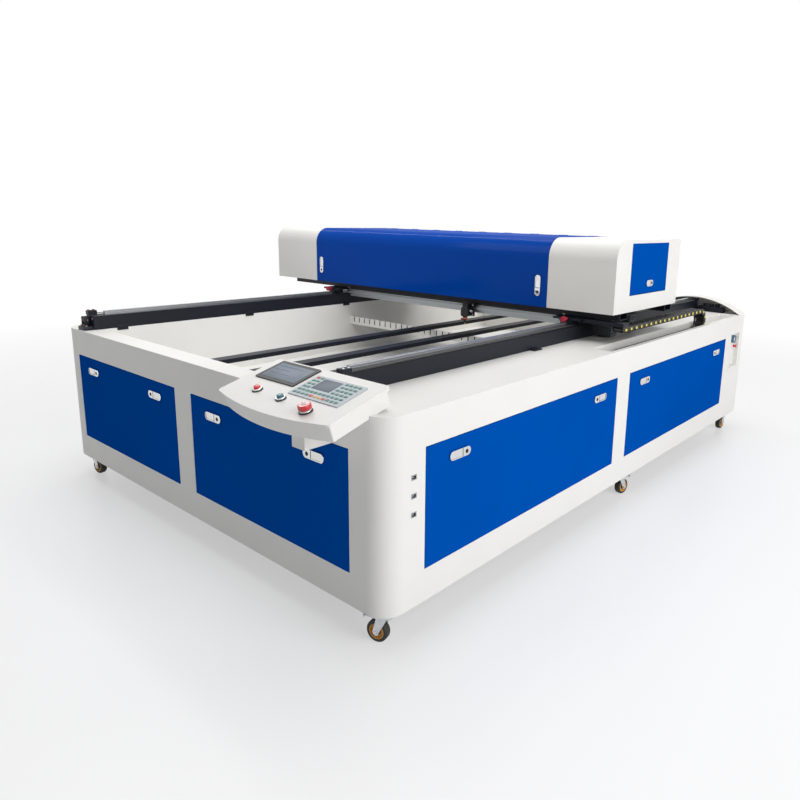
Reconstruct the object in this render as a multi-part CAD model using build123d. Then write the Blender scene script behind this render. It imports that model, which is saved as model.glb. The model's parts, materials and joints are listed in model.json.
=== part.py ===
"""Flatbed carbon dioxide laser cutter with a travelling gantry: one STEP file for each sub-part.

Millimetres, +Z up, the front faces -Y. The origin is on the floor, under the middle of the whole machine.
"""
from build123d import *
import math
import os

# Sheet body
BODY_W = 2236
BODY_L = 3204
BODY_H = 640
GROUND = 116
SHEET = 3
FRONT_CORNER_R = 80
REAR_CORNER_R = 12

# What stands out past the body, which places the origin
CAP_OVERHANG = 411
COLLAR_REACH = 60

# Service windows in the body's sides, with their tilting panels
WINDOW_SILL = 112
WINDOW_H = 408
FRONT_LEFT_MARGIN = 130
FRONT_RIGHT_MARGIN = 156
FRONT_POST = 121
SIDE_FRONT_MARGIN = 173
SIDE_REAR_MARGIN = 326
SIDE_POST = 122
SIDE_FIRST_WINDOW_L = 1271
WINDOW_FLANGE = 18
PANEL_GAP = 2.5
HINGE_GAP = 0.3
PANEL_FLANGE = 12
LATCH_L = 104
LATCH_H = 32
LATCH_PROUD = 3
LATCH_INSET = 160
LATCH_DROP = 60
LATCH_CASE_DEPTH = 22
LATCH_RIM_L = 13
LATCH_RIM_H = 6
LATCH_RECESS = 2

# Bed opening in the deck, the well under it and what lies across it
BED_RIGHT_MARGIN = 370
BED_LEFT_MARGIN = 206
BED_FRONT_MARGIN = 95
BED_REAR_MARGIN = 104
WELL_DEPTH = 300
LEDGE_W = 100
LEDGE_DROP = 62
BAR_W = 60
BAR_H = 20
BAR_WALL = 2
BAR_FROM_RIGHT = (1015, 1310)
COMB_H = 50
COMB_T = 2
COMB_PITCH = 48
COMB_SLOT_W = 4
COMB_SLOT_H = 32
MID_COMB_Y = 1650
FRONT_COMB_L = 500

# Welded tube frame inside the body
TUBE = 50
TUBE_WALL = 3
FRAME_INSET = 30
MID_FRAME_Y = 1505

# Rails along both sides of the bed
BEAM_W = 80
BEAM_H = 66
BEAM_WALL = 4
BEAM_FRONT = (92, 130)
BEAM_REAR = 3100
RAIL_W = 20
RAIL_H = 17.5
RAIL_GROOVE = 2.5
RAIL_GROOVE_Z = 10.5
RAIL_END = 25
END_BLOCK_L = 40
END_BLOCK_H = 40
BELT_W = 15
BELT_T = 2
BELT_OFFSET = 32
BELT_RISE = 5

# Cable chain beside the right rail
CHAIN_W = 60
CHAIN_H = 26
CHAIN_R = 58.5
CHAIN_PITCH = 54
CHAIN_FROM_RIGHT = 72
CHAIN_WALL = 3
CHAIN_BAR_W = 16
CHAIN_BAR_T = 3
CHAIN_EASE = 5
LINK_GAP = 0.3
BEND_GAP = 3
CHAIN_STUD_R = 7
CHAIN_STUD_T = 2
CHAIN_INSET = 3.3
CHAIN_LEAD = 9
BEND_LINKS = 4
CHAIN_FIXED_Y = 1602
CHAIN_BEND_Y = 2540
TROUGH_CLEAR = 18
TROUGH_FRONT_Y = 1410
TROUGH_REAR_MARGIN = 124
TROUGH_DEPTH = 55

# Hoods over the rear ends of the rails
HOOD_W = 600
HOOD_RISE = 95
HOOD_L = 100

# Gantry
COVER_FRONT_Y = 1540
COVER_L = 720
COVER_Z = 780
COVER_H = 340
COVER_R = 95
COVER_REAR_R = 12
COVER_RIGHT_MARGIN = 93
RIGHT_CAP_W = 361
LEFT_CAP_W = 414
LID_TOP_L = 620
LID_GAP = 2
LID_HANDLE_DROP = 105
LID_LATCH_INSET = 55
JOGGLE = 20
DOOR_W = 420
DOOR_H = 246
DOOR_FRONT = 152
DOOR_TOP = 16
DOOR_LATCH_L = 72
DOOR_LATCH_RISE = 48
CARRIAGE_BLOCK_W = 44
CARRIAGE_BLOCK_L = 78
CARRIAGE_TOP = 30
RUN_GAP = 0.3
CARRIAGE_PLATE_T = 10
CARRIAGE_PLATE_W = 150
CARRIAGE_PLATE_L = 690
CARRIAGE_FRONT_Y = 1525
SADDLE_RISE = 3
BUMPER_R = 13
BUMPER_L = 34
BUMPER_HEAD_L = 14
BUMPER_STEM_R = 8
CROSS_TUBE = 80
CROSS_TUBE_WALL = 5
FRONT_TUBE_Y = 1614
REAR_TUBE_Y = 2130
GUIDE_W = 46
GUIDE_H = 50
GUIDE_SLOT = 8
GUIDE_CLEAR = 45
LINEAR_W = 15
LINEAR_H = 12
X_BELT_H = 8
BEAM_END_GAP = 100
BRACKET_CLEAR = 1
SHELF_W = 80
SHELF_T = 8
MOTOR_W = 70
MOTOR_H = 84
MOTOR_Y = (1700, 1900)
MOTOR_FROM_RIGHT = 215
MOTOR_FINS = 6
FIN_DEPTH = 12
FIN_SLOT = 4

# Laser tube in the gantry
LASER_R = 40
LASER_L = 1830
LASER_END_R = 14
LASER_END_L = 60
LASER_Y = 1900
LASER_Z = 960
LASER_FROM_LEFT = 330
CLAMP_T = 30
CLAMP_RING = 10
CLAMP_FOOT_W = 120
CLAMP_INSET = 260
MIRROR_GAP = 90
MIRROR_W = 50

# Cutting head
HEAD_FROM_RIGHT = 985
HEAD_W = 80
HEAD_PLATE_T = 10
HEAD_H = 84
HEAD_DROP = 12
SADDLE_FACE = 8
SADDLE_H = 32
SADDLE_INSET = 8
HOLDER_H = 46
FOCUS_L = 104
NOZZLE_R = 3
NOZZLE_L = 30
FOCUS_R = 15
FOCUS_NECK_R = 11
FOCUS_NECK_L = 8
FOCUS_CAP_R = 10
FOCUS_CAP_L = 8
FOCUS_TIP_Z = 636
FOCUS_HOLDER_R = 24
FOCUS_CLEAR = 0.05

# Casters
WHEEL_R = 37.5
WHEEL_W = 28
HUB_R = 27
AXLE_R = 4
AXLE_CLEAR = 0.05
PLATE_X = 92
PLATE_Y = 72
PLATE_T = 4
FORK_T = 3
FORK_GAP = 2
SWIVEL_R = 27
FORK_SHOULDER = 21.6
KINGPIN_R = 6
KINGPIN_HEAD_R = 10
TRAIL = 30
EYE_R = 11
PEDAL_REACH = 48
PEDAL_RISE = 8
PEDAL_LIP = 6
AXLE_PROUD = 3
TYRE_SHOULDER = 6
HUB_BOSS_R = 11
HUB_DISH = 6
HUB_SLOPE = 3
HUB_RIM = 4
CASTER_Y = (62, 1640, 3142)
CASTER_YAW = ((10, 90, 75), (195, 80, -95))

# Control console at the front right corner
CONSOLE_FROM_RIGHT = 55
CONSOLE_W = 545
CONSOLE_L = 244
CONSOLE_SAG = 36
CONSOLE_TILT = 15.6
CONSOLE_RISE = 76
CONSOLE_REAR_Y = 80
CONSOLE_PLATE_T = 8
CONSOLE_DEPTH = 60
CONSOLE_LIP = 9
CONSOLE_CORNER_R = 14
CONSOLE_LEAST_R = 2
CONSOLE_WALL = 2
ARM_W = 60
ARM_FROM_RIGHT = 210
ARM_DEPTH = 60
ARM_L = 118
DISPLAY_W = 200
DISPLAY_L = 118
DISPLAY_T = 4
KEYPAD_W = 228
KEYPAD_L = 124
KEYPAD_T = 3
BUTTON_R = 11
BUTTON_COLLAR_R = 14.5
BUTTON_TRAVEL = 4
ESTOP_R = 20
ESTOP_STEM_R = 9
STEM_CLEAR = 0.1
COLLAR_H = 7
BUTTON_RISE = 5
BUTTON_CAP_T = 9
BUTTON_EASE = 2
BUTTON_STEM_R = 6
STEM_L = 26
ESTOP_COLLAR_R = 16
ESTOP_CAP_T = 13
ESTOP_EASE = 4
ESTOP_CLEAR = 1
ARM_TOP_DROP = 50
DISPLAY_RIM = 14
DISPLAY_CORNER_R = 4
SCREEN_RECESS = 1
KEYPAD_CORNER_R = 3
LCD_AT = (-24, 20)
LCD_W = 84
LCD_L = 62
KEY_COLUMNS = 11
KEY_ROWS = 6
KEY_PITCH = 19
KEY_MARGIN = 16
KEY_W = 12
KEY_L = 8.4
KEY_H = 1

# Rear exhaust collar and the sockets by the front right corner
COLLAR_R = 75
COLLAR_WALL = 2
COLLAR_FLANGE = 15
COLLAR_Z = 330
SOCKET_W = 18
SOCKET_H = 12
SOCKET_DEPTH = 20
SOCKET_SET_BACK = 1
SOCKET_WALL = 2
SOCKET_MOUTH = 12
SOCKET_Y = 113
SOCKET_RISE = (430, 370, 309)
RECESS_Y = 2980
RECESS_L = 150
RECESS_RISE = 320
RECESS_H = 210
RECESS_DEPTH = 24

# Places that follow from the sizes
CONSOLE_TURN = math.radians(CONSOLE_TILT)
CONSOLE_REACH = (CONSOLE_L + CONSOLE_SAG) * math.cos(CONSOLE_TURN) - CONSOLE_REAR_Y
RIGHT = (BODY_W + CAP_OVERHANG) / 2
LEFT = RIGHT - BODY_W
FRONT = CONSOLE_REACH - (CONSOLE_REACH + BODY_L + COLLAR_REACH) / 2
REAR = FRONT + BODY_L
DECK = GROUND + BODY_H
BED_X0 = LEFT + BED_LEFT_MARGIN
BED_X1 = RIGHT - BED_RIGHT_MARGIN
BED_Y0 = FRONT + BED_FRONT_MARGIN
BED_Y1 = REAR - BED_REAR_MARGIN
WELL_FLOOR = DECK - SHEET - WELL_DEPTH
LEDGE_Z = DECK - LEDGE_DROP
RAIL_X = (BED_X0 - BEAM_W / 2, BED_X1 + BEAM_W / 2)
BEAM_Y0 = (FRONT + BEAM_FRONT[0], FRONT + BEAM_FRONT[1])
BEAM_Y1 = FRONT + BEAM_REAR
BEAM_TOP = DECK + BEAM_H
CHAIN_X = RIGHT - CHAIN_FROM_RIGHT
TROUGH_X0 = CHAIN_X - CHAIN_W / 2 - TROUGH_CLEAR
TROUGH_X1 = CHAIN_X + CHAIN_W / 2 + TROUGH_CLEAR
TROUGH_Y0 = FRONT + TROUGH_FRONT_Y
TROUGH_Y1 = REAR - TROUGH_REAR_MARGIN
TROUGH_FLOOR = DECK - TROUGH_DEPTH
CHAIN_LOW_Z = TROUGH_FLOOR + CHAIN_H / 2
CHAIN_TOP_Z = CHAIN_LOW_Z + 2 * CHAIN_R
CHAIN_Y0 = FRONT + CHAIN_FIXED_Y
CHAIN_Y1 = FRONT + CHAIN_BEND_Y
COVER_Y0 = FRONT + COVER_FRONT_Y
COVER_Y1 = COVER_Y0 + COVER_L
COVER_BOTTOM = GROUND + COVER_Z
COVER_TOP = COVER_BOTTOM + COVER_H
COVER_X0 = LEFT - CAP_OVERHANG
COVER_X1 = RIGHT - COVER_RIGHT_MARGIN
LID_X0 = COVER_X0 + LEFT_CAP_W
LID_X1 = COVER_X1 - RIGHT_CAP_W
LID_REAR = COVER_Y0 + LID_TOP_L
DOOR_Y0 = COVER_Y0 + DOOR_FRONT
DOOR_Z1 = COVER_TOP - DOOR_TOP
CARRIAGE_Z = BEAM_TOP + CARRIAGE_TOP
GANTRY_Z = CARRIAGE_Z + CARRIAGE_PLATE_T
FRONT_TUBE = FRONT + FRONT_TUBE_Y
REAR_TUBE = FRONT + REAR_TUBE_Y
GUIDE_X0 = BED_X0 + GUIDE_CLEAR
GUIDE_X1 = BED_X1 - GUIDE_CLEAR
GUIDE_Y = FRONT_TUBE
LINEAR_Z = GANTRY_Z - GUIDE_H / 2
MOTOR_X = RIGHT - MOTOR_FROM_RIGHT
HEAD_X = RIGHT - HEAD_FROM_RIGHT
FOCUS_Y = GUIDE_Y - LINEAR_H - SADDLE_FACE - HEAD_PLATE_T - FOCUS_HOLDER_R
LASER_X0 = COVER_X0 + LASER_FROM_LEFT
CASTER_X = (LEFT + FRAME_INSET + TUBE / 2, RIGHT - FRAME_INSET - TUBE / 2)
SWIVEL_Z = GROUND - PLATE_T - HINGE_GAP
CONSOLE_X1 = RIGHT - CONSOLE_FROM_RIGHT
CONSOLE_X0 = CONSOLE_X1 - CONSOLE_W
CONSOLE_X = (CONSOLE_X0 + CONSOLE_X1) / 2
DISPLAY_AT = (-131, -70)
KEYPAD_AT = (103, -102)
BUTTON_AT = {"red_button": (-131, -190), "green_button": (0, -198)}
ESTOP_AT = (144, -218)


def block(x0, x1, y0, y1, z0, z1):
    """A box between two corners."""
    return Pos((x0 + x1) / 2, (y0 + y1) / 2, (z0 + z1) / 2) * Box(x1 - x0, y1 - y0, z1 - z0)


def square_tube(axis, start, end, first, second, width, height, wall):
    """A square tube along X, Y or Z; first and second are its centre across, in X, Y, Z order."""
    section = Rectangle(width, height) - Rectangle(width - 2 * wall, height - 2 * wall)
    if axis == "X":
        plane = Plane((start, first, second), x_dir=(0, 1, 0), z_dir=(1, 0, 0))
    elif axis == "Y":
        plane = Plane((first, start, second), x_dir=(1, 0, 0), z_dir=(0, 1, 0))
    else:
        plane = Plane((first, second, start), x_dir=(1, 0, 0), z_dir=(0, 0, 1))
    return extrude(plane * section, end - start)


def rounded_outline(inset):
    """The body's outline seen from above, moved inwards by inset."""
    width = BODY_W - 2 * inset
    length = BODY_L - 2 * inset
    middle = ((LEFT + RIGHT) / 2, (FRONT + REAR) / 2)
    sheet = Pos(*middle) * Rectangle(width, length)
    by_y = sheet.vertices().sort_by(Axis.Y)
    sheet = fillet(by_y[0:2], FRONT_CORNER_R - inset)
    by_y = sheet.vertices().sort_by(Axis.Y)
    return fillet(by_y[-2:], REAR_CORNER_R - inset)


def windows():
    """Each service window as (side, start, end) along the wall, from left or front."""
    first = LEFT + FRONT_LEFT_MARGIN
    last = RIGHT - FRONT_RIGHT_MARGIN
    width = (last - first - FRONT_POST) / 2
    near = FRONT + SIDE_FRONT_MARGIN
    post = near + SIDE_FIRST_WINDOW_L
    far = REAR - SIDE_REAR_MARGIN
    found = {"front_left_panel": ("front", first, first + width)}
    found["front_right_panel"] = ("front", last - width, last)
    for side in ("left", "right"):
        found[f"{side}_front_panel"] = (side, near, post)
        found[f"{side}_rear_panel"] = (side, post + SIDE_POST, far)
    return found


def wall_box(side, start, end, low, high, outer, inner):
    """A box on one wall, from outer to inner millimetres behind the wall's face."""
    if side == "front":
        return block(start, end, FRONT + outer, FRONT + inner, low, high)
    if side == "left":
        return block(LEFT + outer, LEFT + inner, start, end, low, high)
    return block(RIGHT - inner, RIGHT - outer, start, end, low, high)


def cabinet():
    """Four folded sheet walls, with flanged service windows, a recess, sockets and the exhaust hole."""
    low = GROUND + WINDOW_SILL
    high = low + WINDOW_H
    ring = extrude(rounded_outline(0) - rounded_outline(SHEET), BODY_H - SHEET)
    ring = Pos(0, 0, GROUND) * ring
    for side, start, end in windows().values():
        ring -= wall_box(side, start, end, low, high, -1, SHEET + 1)
        flange = wall_box(side, start - SHEET, end + SHEET, low - SHEET, high + SHEET, SHEET, WINDOW_FLANGE)
        flange -= wall_box(side, start, end, low, high, 0, WINDOW_FLANGE + 1)
        ring += flange
    y0 = FRONT + RECESS_Y
    z0 = GROUND + RECESS_RISE
    case = wall_box("right", y0 - SHEET, y0 + RECESS_L + SHEET, z0 - SHEET, z0 + RECESS_H + SHEET,
                    0, RECESS_DEPTH + SHEET)
    ring += case
    ring -= wall_box("right", y0, y0 + RECESS_L, z0, z0 + RECESS_H, -1, RECESS_DEPTH)
    for rise in SOCKET_RISE:
        ring -= wall_box("right", FRONT + SOCKET_Y, FRONT + SOCKET_Y + SOCKET_W,
                         GROUND + rise, GROUND + rise + SOCKET_H, -1, SHEET + 1)
    ring -= collar_cylinder(COLLAR_R - COLLAR_WALL, REAR - 2 * SHEET, REAR + 1)
    near = FRONT + FRONT_CORNER_R
    far = REAR - REAR_CORNER_R
    middle = (LEFT + RIGHT) / 2
    wide = BODY_W + 2
    zones = [block(middle - wide, middle + wide, FRONT - 1, near, 0, DECK)]
    zones.append(block(middle, middle + wide, near, far, 0, DECK))
    zones.append(block(middle - wide, middle, near, far, 0, DECK))
    zones.append(block(middle - wide, middle + wide, far, REAR + 1, 0, DECK))
    return Compound(children=[(ring & zone).solids()[0] for zone in zones])


def stadium_latch(length, depth):
    """A stadium latch plate with its mouth let into the face."""
    plate = extrude(SlotOverall(length, LATCH_H), depth)
    mouth = SlotOverall(length - 2 * LATCH_RIM_L, LATCH_H - 2 * LATCH_RIM_H)
    return plate - Pos(0, 0, depth - LATCH_RECESS) * extrude(mouth, LATCH_RECESS + 1)


def panel(side, start, end):
    """A window's sheet pan with two stadium latches; it tilts out about its lower outer edge."""
    low = GROUND + WINDOW_SILL + HINGE_GAP
    high = GROUND + WINDOW_SILL + WINDOW_H - PANEL_GAP
    first = start + PANEL_GAP
    last = end - PANEL_GAP
    plate = wall_box(side, first, last, low, high, 0, SHEET)
    plate += wall_box(side, first, first + SHEET, low + PANEL_FLANGE, high, SHEET, PANEL_FLANGE)
    plate += wall_box(side, last - SHEET, last, low + PANEL_FLANGE, high, SHEET, PANEL_FLANGE)
    plate += wall_box(side, first, last, high - SHEET, high, SHEET, PANEL_FLANGE)
    latch = stadium_latch(LATCH_L, LATCH_PROUD + LATCH_CASE_DEPTH)
    face = {
        "front": Plane((0, FRONT + LATCH_CASE_DEPTH, 0), x_dir=(1, 0, 0), z_dir=(0, -1, 0)),
        "left": Plane((LEFT + LATCH_CASE_DEPTH, 0, 0), x_dir=(0, -1, 0), z_dir=(-1, 0, 0)),
        "right": Plane((RIGHT - LATCH_CASE_DEPTH, 0, 0), x_dir=(0, 1, 0), z_dir=(1, 0, 0)),
    }[side]
    turn = -1 if side == "left" else 1
    for along in (first + LATCH_INSET, last - LATCH_INSET):
        plate += face * Pos(turn * along, high - LATCH_DROP, 0) * latch
    return plate


def collar_cylinder(radius, y0, y1):
    """A cylinder on the exhaust collar's axis."""
    axis = Plane(((LEFT + RIGHT) / 2, y0, GROUND + COLLAR_Z), x_dir=(1, 0, 0), z_dir=(0, 1, 0))
    return extrude(axis * Circle(radius), y1 - y0)


def exhaust_collar():
    """A spun collar for the extraction hose, standing through the rear wall."""
    y0 = REAR - 2 * SHEET
    collar = collar_cylinder(COLLAR_R, REAR, REAR + COLLAR_REACH)
    collar += collar_cylinder(COLLAR_R + COLLAR_FLANGE, REAR, REAR + SHEET)
    return collar - collar_cylinder(COLLAR_R - COLLAR_WALL, y0, REAR + COLLAR_REACH + 1)


def top_deck():
    """The deck sheet round the bed, with the long cut-out for the chain's trough."""
    sheet = Pos(0, 0, DECK - SHEET) * extrude(rounded_outline(0), SHEET)
    sheet -= block(BED_X0, BED_X1, BED_Y0, BED_Y1, DECK - 2 * SHEET, DECK + 1)
    return sheet - block(TROUGH_X0, TROUGH_X1, TROUGH_Y0, TROUGH_Y1, DECK - 2 * SHEET, DECK + 1)


def bed_well():
    """The white well under the bed: four walls with ledges across both ends, and a collecting floor."""
    top = DECK - SHEET
    solids = [block(BED_X0 - SHEET, BED_X0, BED_Y0, BED_Y1, WELL_FLOOR, top)]
    solids.append(block(BED_X1, BED_X1 + SHEET, BED_Y0, BED_Y1, WELL_FLOOR, top))
    solids.append(block(BED_X0 - SHEET, BED_X1 + SHEET, BED_Y0 - SHEET, BED_Y0, WELL_FLOOR, top))
    solids.append(block(BED_X0 - SHEET, BED_X1 + SHEET, BED_Y1, BED_Y1 + SHEET, WELL_FLOOR, top))
    solids.append(block(BED_X0 - SHEET, BED_X1 + SHEET, BED_Y0 - SHEET, BED_Y1 + SHEET,
                        WELL_FLOOR - SHEET, WELL_FLOOR))
    low = LEDGE_Z - BAR_H
    solids.append(block(BED_X0, BED_X1, BED_Y0, BED_Y0 + LEDGE_W, low - SHEET, low))
    solids.append(block(BED_X0, BED_X1, BED_Y1 - LEDGE_W, BED_Y1, low - SHEET, low))
    return Compound(children=solids)


def bed_bars():
    """Flat tubes along the bed, on which the blades and the sheet to be cut lie."""
    middle = LEDGE_Z - BAR_H / 2
    return Compound(children=[
        square_tube("Y", BED_Y0, BED_Y1, RIGHT - offset, middle, BAR_W, BAR_H, BAR_WALL)
        for offset in BAR_FROM_RIGHT])


def comb(x0, x1, y):
    """An upright strip with slots along its top edge for the bed's blades."""
    top = LEDGE_Z - BAR_H - SHEET - HINGE_GAP
    strip = block(x0, x1, y - COMB_T / 2, y + COMB_T / 2, top - COMB_H, top)
    count = int((x1 - x0 - COMB_PITCH) // COMB_PITCH) + 1
    first = (x0 + x1) / 2 - COMB_PITCH * (count - 1) / 2
    cuts = [block(first + COMB_PITCH * i - COMB_SLOT_W / 2, first + COMB_PITCH * i + COMB_SLOT_W / 2,
                  y - COMB_T, y + COMB_T, top - COMB_SLOT_H, top + 1) for i in range(count)]
    return strip - cuts


def comb_strips():
    """Slotted strips across the bed under the bars: one across the middle and one at the front ledge."""
    middle = comb(BED_X0, BED_X1, FRONT + MID_COMB_Y)
    centre = (BED_X0 + BED_X1) / 2
    front_y = BED_Y0 + LEDGE_W - COMB_T
    front = comb(centre - FRONT_COMB_L / 2, centre + FRONT_COMB_L / 2, front_y)
    return Compound(children=[middle, front])


def chassis():
    """The welded tube frame: a floor frame, six uprights and the two long beams under the rails."""
    base_z = GROUND + TUBE / 2
    head_z = DECK - SHEET - TUBE / 2
    y0 = FRONT + FRAME_INSET
    y1 = REAR - FRAME_INSET
    cross = (y0 + TUBE / 2, FRONT + MID_FRAME_Y, y1 - TUBE / 2)
    inner = (BED_X0 - SHEET - TUBE / 2, BED_X1 + SHEET + TUBE / 2)
    solids = [square_tube("Y", y0, y1, x, base_z, TUBE, TUBE, TUBE_WALL) for x in CASTER_X]
    solids += [square_tube("Y", y0, y1, x, head_z, TUBE, TUBE, TUBE_WALL) for x in inner]
    for y in cross:
        solids.append(square_tube("X", CASTER_X[0] + TUBE / 2, CASTER_X[1] - TUBE / 2, y, base_z,
                                  TUBE, TUBE, TUBE_WALL))
        for x in inner:
            solids.append(square_tube("Z", base_z + TUBE / 2, head_z - TUBE / 2, x, y, TUBE, TUBE, TUBE_WALL))
    return Compound(children=solids)


def rail_beams():
    """Black box beams along both sides of the bed."""
    solids = []
    for x, y0 in zip(RAIL_X, BEAM_Y0):
        middle = DECK + BEAM_H / 2
        solids.append(square_tube("Y", y0, BEAM_Y1, x, middle, BEAM_W, BEAM_H, BEAM_WALL))
    return Compound(children=solids)


def linear_rails():
    """Profiled steel rails on the beams, waisted on both sides for the bearing balls."""
    solids = []
    for x, y0 in zip(RAIL_X, BEAM_Y0):
        section = Pos(0, RAIL_H / 2) * Rectangle(RAIL_W, RAIL_H)
        for side in (-1, 1):
            waist = Pos(side * RAIL_W / 2, RAIL_GROOVE_Z) * Circle(RAIL_GROOVE)
            section -= waist
        plane = Plane((x, y0 + RAIL_END, BEAM_TOP), x_dir=(-1, 0, 0), z_dir=(0, 1, 0))
        solids.append(extrude(plane * section, BEAM_Y1 - y0 - 2 * RAIL_END))
    return Compound(children=solids)


def rail_end_blocks():
    """Pulley blocks at the ends of both beams, which hold the ends of the toothed belts."""
    solids = []
    for side, x, front in zip((-1, 1), RAIL_X, BEAM_Y0):
        outer = x + side * BELT_OFFSET
        for y0 in (front - END_BLOCK_L, BEAM_Y1):
            body = block(x - BEAM_W / 2, x + BEAM_W / 2, y0, y0 + END_BLOCK_L, DECK, BEAM_TOP)
            cheeks = block(outer - BELT_W, outer + BELT_W, y0, y0 + END_BLOCK_L,
                           BEAM_TOP, BEAM_TOP + END_BLOCK_H / 2)
            solids.append(body + cheeks)
    return Compound(children=solids)


def y_belts():
    """Toothed belts along the outer edges of both beams, held in the end blocks."""
    solids = []
    for side, x, front in zip((-1, 1), RAIL_X, BEAM_Y0):
        middle = x + side * BELT_OFFSET
        solids.append(block(middle - BELT_W / 2, middle + BELT_W / 2, front, BEAM_Y1,
                            BEAM_TOP + BELT_RISE, BEAM_TOP + BELT_RISE + BELT_T))
    return Compound(children=solids)


def rear_hood():
    """The arched sheet hood over the rear end of the right rail, closed at the back."""
    radius = (HOOD_W ** 2 / 4 + HOOD_RISE ** 2) / (2 * HOOD_RISE)
    centre = (RIGHT - HOOD_W / 2, DECK + HOOD_RISE - radius)
    keep = block(RIGHT - HOOD_W, RIGHT, REAR - HOOD_L, REAR, DECK, DECK + HOOD_RISE + 1)
    outside = Plane((centre[0], REAR, centre[1]), x_dir=(1, 0, 0), z_dir=(0, -1, 0))
    inside = Plane((centre[0], REAR - SHEET, centre[1]), x_dir=(1, 0, 0), z_dir=(0, -1, 0))
    arch = extrude(outside * Circle(radius), HOOD_L) & keep
    return arch - extrude(inside * Circle(radius - SHEET), HOOD_L)


def chain_trough():
    """A folded channel let into the deck, in which the cable chain lies."""
    outer = block(TROUGH_X0, TROUGH_X1, TROUGH_Y0, TROUGH_Y1, TROUGH_FLOOR - SHEET, DECK - SHEET)
    return outer - block(TROUGH_X0 + SHEET, TROUGH_X1 - SHEET, TROUGH_Y0 + SHEET, TROUGH_Y1 - SHEET,
                         TROUGH_FLOOR, DECK)


def port_sockets():
    """Data and network sockets behind the wall's holes, by the front right corner."""
    solids = []
    for rise in SOCKET_RISE:
        y0 = FRONT + SOCKET_Y
        z0 = GROUND + rise
        shell = block(RIGHT - SOCKET_DEPTH, RIGHT - SOCKET_SET_BACK, y0, y0 + SOCKET_W, z0, z0 + SOCKET_H)
        mouth = block(RIGHT - SOCKET_MOUTH, RIGHT, y0 + SOCKET_WALL, y0 + SOCKET_W - SOCKET_WALL,
                      z0 + SOCKET_WALL, z0 + SOCKET_H - SOCKET_WALL)
        solids.append(shell - mouth)
    return Compound(children=solids)


def cover_section(inset):
    """The gantry cover's section in the Y-Z plane, moved inwards by inset, with its foot left in place."""
    length = COVER_L - 2 * inset
    height = COVER_H - inset
    outline = Pos(COVER_L / 2, height / 2) * Rectangle(length, height)
    top = outline.vertices().sort_by(Axis.Y)[-2:].sort_by(Axis.X)
    outline = fillet(top[0], COVER_R - inset)
    top = outline.vertices().sort_by(Axis.X)[-2:].sort_by(Axis.Y)
    return fillet(top[-1], COVER_REAR_R - inset)


def cover_solid(x0, x1, inset):
    """The cover's section extruded from x0 to x1."""
    plane = Plane((x0, COVER_Y0, COVER_BOTTOM), x_dir=(0, 1, 0), z_dir=(1, 0, 0))
    return extrude(plane * cover_section(inset), x1 - x0)


def cover_shell(x0, x1, inset=0.0):
    """A piece of the open-bottomed cover, one sheet thick."""
    return cover_solid(x0, x1, inset) - cover_solid(x0 - 1, x1 + 1, inset + SHEET)


def end_cap(outer, seam):
    """A white end of the cover: shell, end wall with its door opening, and a joggle under the lid's edge."""
    inward = 1 if seam > outer else -1
    wall = sorted((outer, outer + inward * SHEET))
    cap = cover_shell(min(outer, seam), max(outer, seam)) + cover_solid(wall[0], wall[1], 0)
    cap -= block(min(wall) - 1, max(wall) + 1, DOOR_Y0, DOOR_Y0 + DOOR_W, DOOR_Z1 - DOOR_H, DOOR_Z1)
    joggle = sorted((seam - inward * JOGGLE, seam))
    lip = sorted((seam - inward * JOGGLE, seam + inward * JOGGLE))
    return cap + cover_shell(joggle[0], joggle[1], SHEET) + cover_shell(lip[0], lip[1], SHEET + RUN_GAP)


def front_lid():
    """The blue front and top of the cover, hinged along its rear edge, with two stadium latches."""
    lid = cover_shell(LID_X0 + LID_GAP, LID_X1 - LID_GAP)
    lid &= block(LID_X0, LID_X1, COVER_Y0 - 1, LID_REAR - HINGE_GAP, COVER_BOTTOM, COVER_TOP + 1)
    latch = stadium_latch(LATCH_L, SHEET + LATCH_PROUD)
    for x in (LID_X0 + LID_LATCH_INSET, LID_X1 - LID_LATCH_INSET):
        middle = (x, COVER_Y0 + SHEET, COVER_BOTTOM + LID_HANDLE_DROP)
        lid += Plane(middle, x_dir=(0, 0, 1), z_dir=(0, -1, 0)) * latch
    return lid


def rear_cover():
    """The fixed rear wall of the cover and the strip that carries the lid's hinge."""
    shell = cover_shell(LID_X0, LID_X1)
    return shell & block(LID_X0, LID_X1, LID_REAR, COVER_Y1 + 1, COVER_BOTTOM, COVER_TOP + 1)


def end_door(outer, inward):
    """A small door in the cover's end wall, hinged along its top edge, with one latch."""
    x = sorted((outer, outer + inward * SHEET))
    low = DOOR_Z1 - DOOR_H + PANEL_GAP
    door = block(x[0], x[1], DOOR_Y0 + PANEL_GAP, DOOR_Y0 + DOOR_W - PANEL_GAP, low, DOOR_Z1 - HINGE_GAP)
    face = Plane((outer + inward * SHEET, DOOR_Y0 + DOOR_W / 2, low + DOOR_LATCH_RISE),
                 x_dir=(0, 1, 0), z_dir=(-inward, 0, 0))
    return door + face * stadium_latch(DOOR_LATCH_L, SHEET + LATCH_PROUD)


def shelf_places():
    """Where the cross shelves lie along the gantry: under each tube clamp and under the first mirror."""
    inner = LASER_L / 2 - CLAMP_INSET
    centre = LASER_X0 + LASER_END_L + LASER_L / 2
    return [centre - inner, centre, centre + inner, LASER_X0 - MIRROR_GAP]


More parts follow.
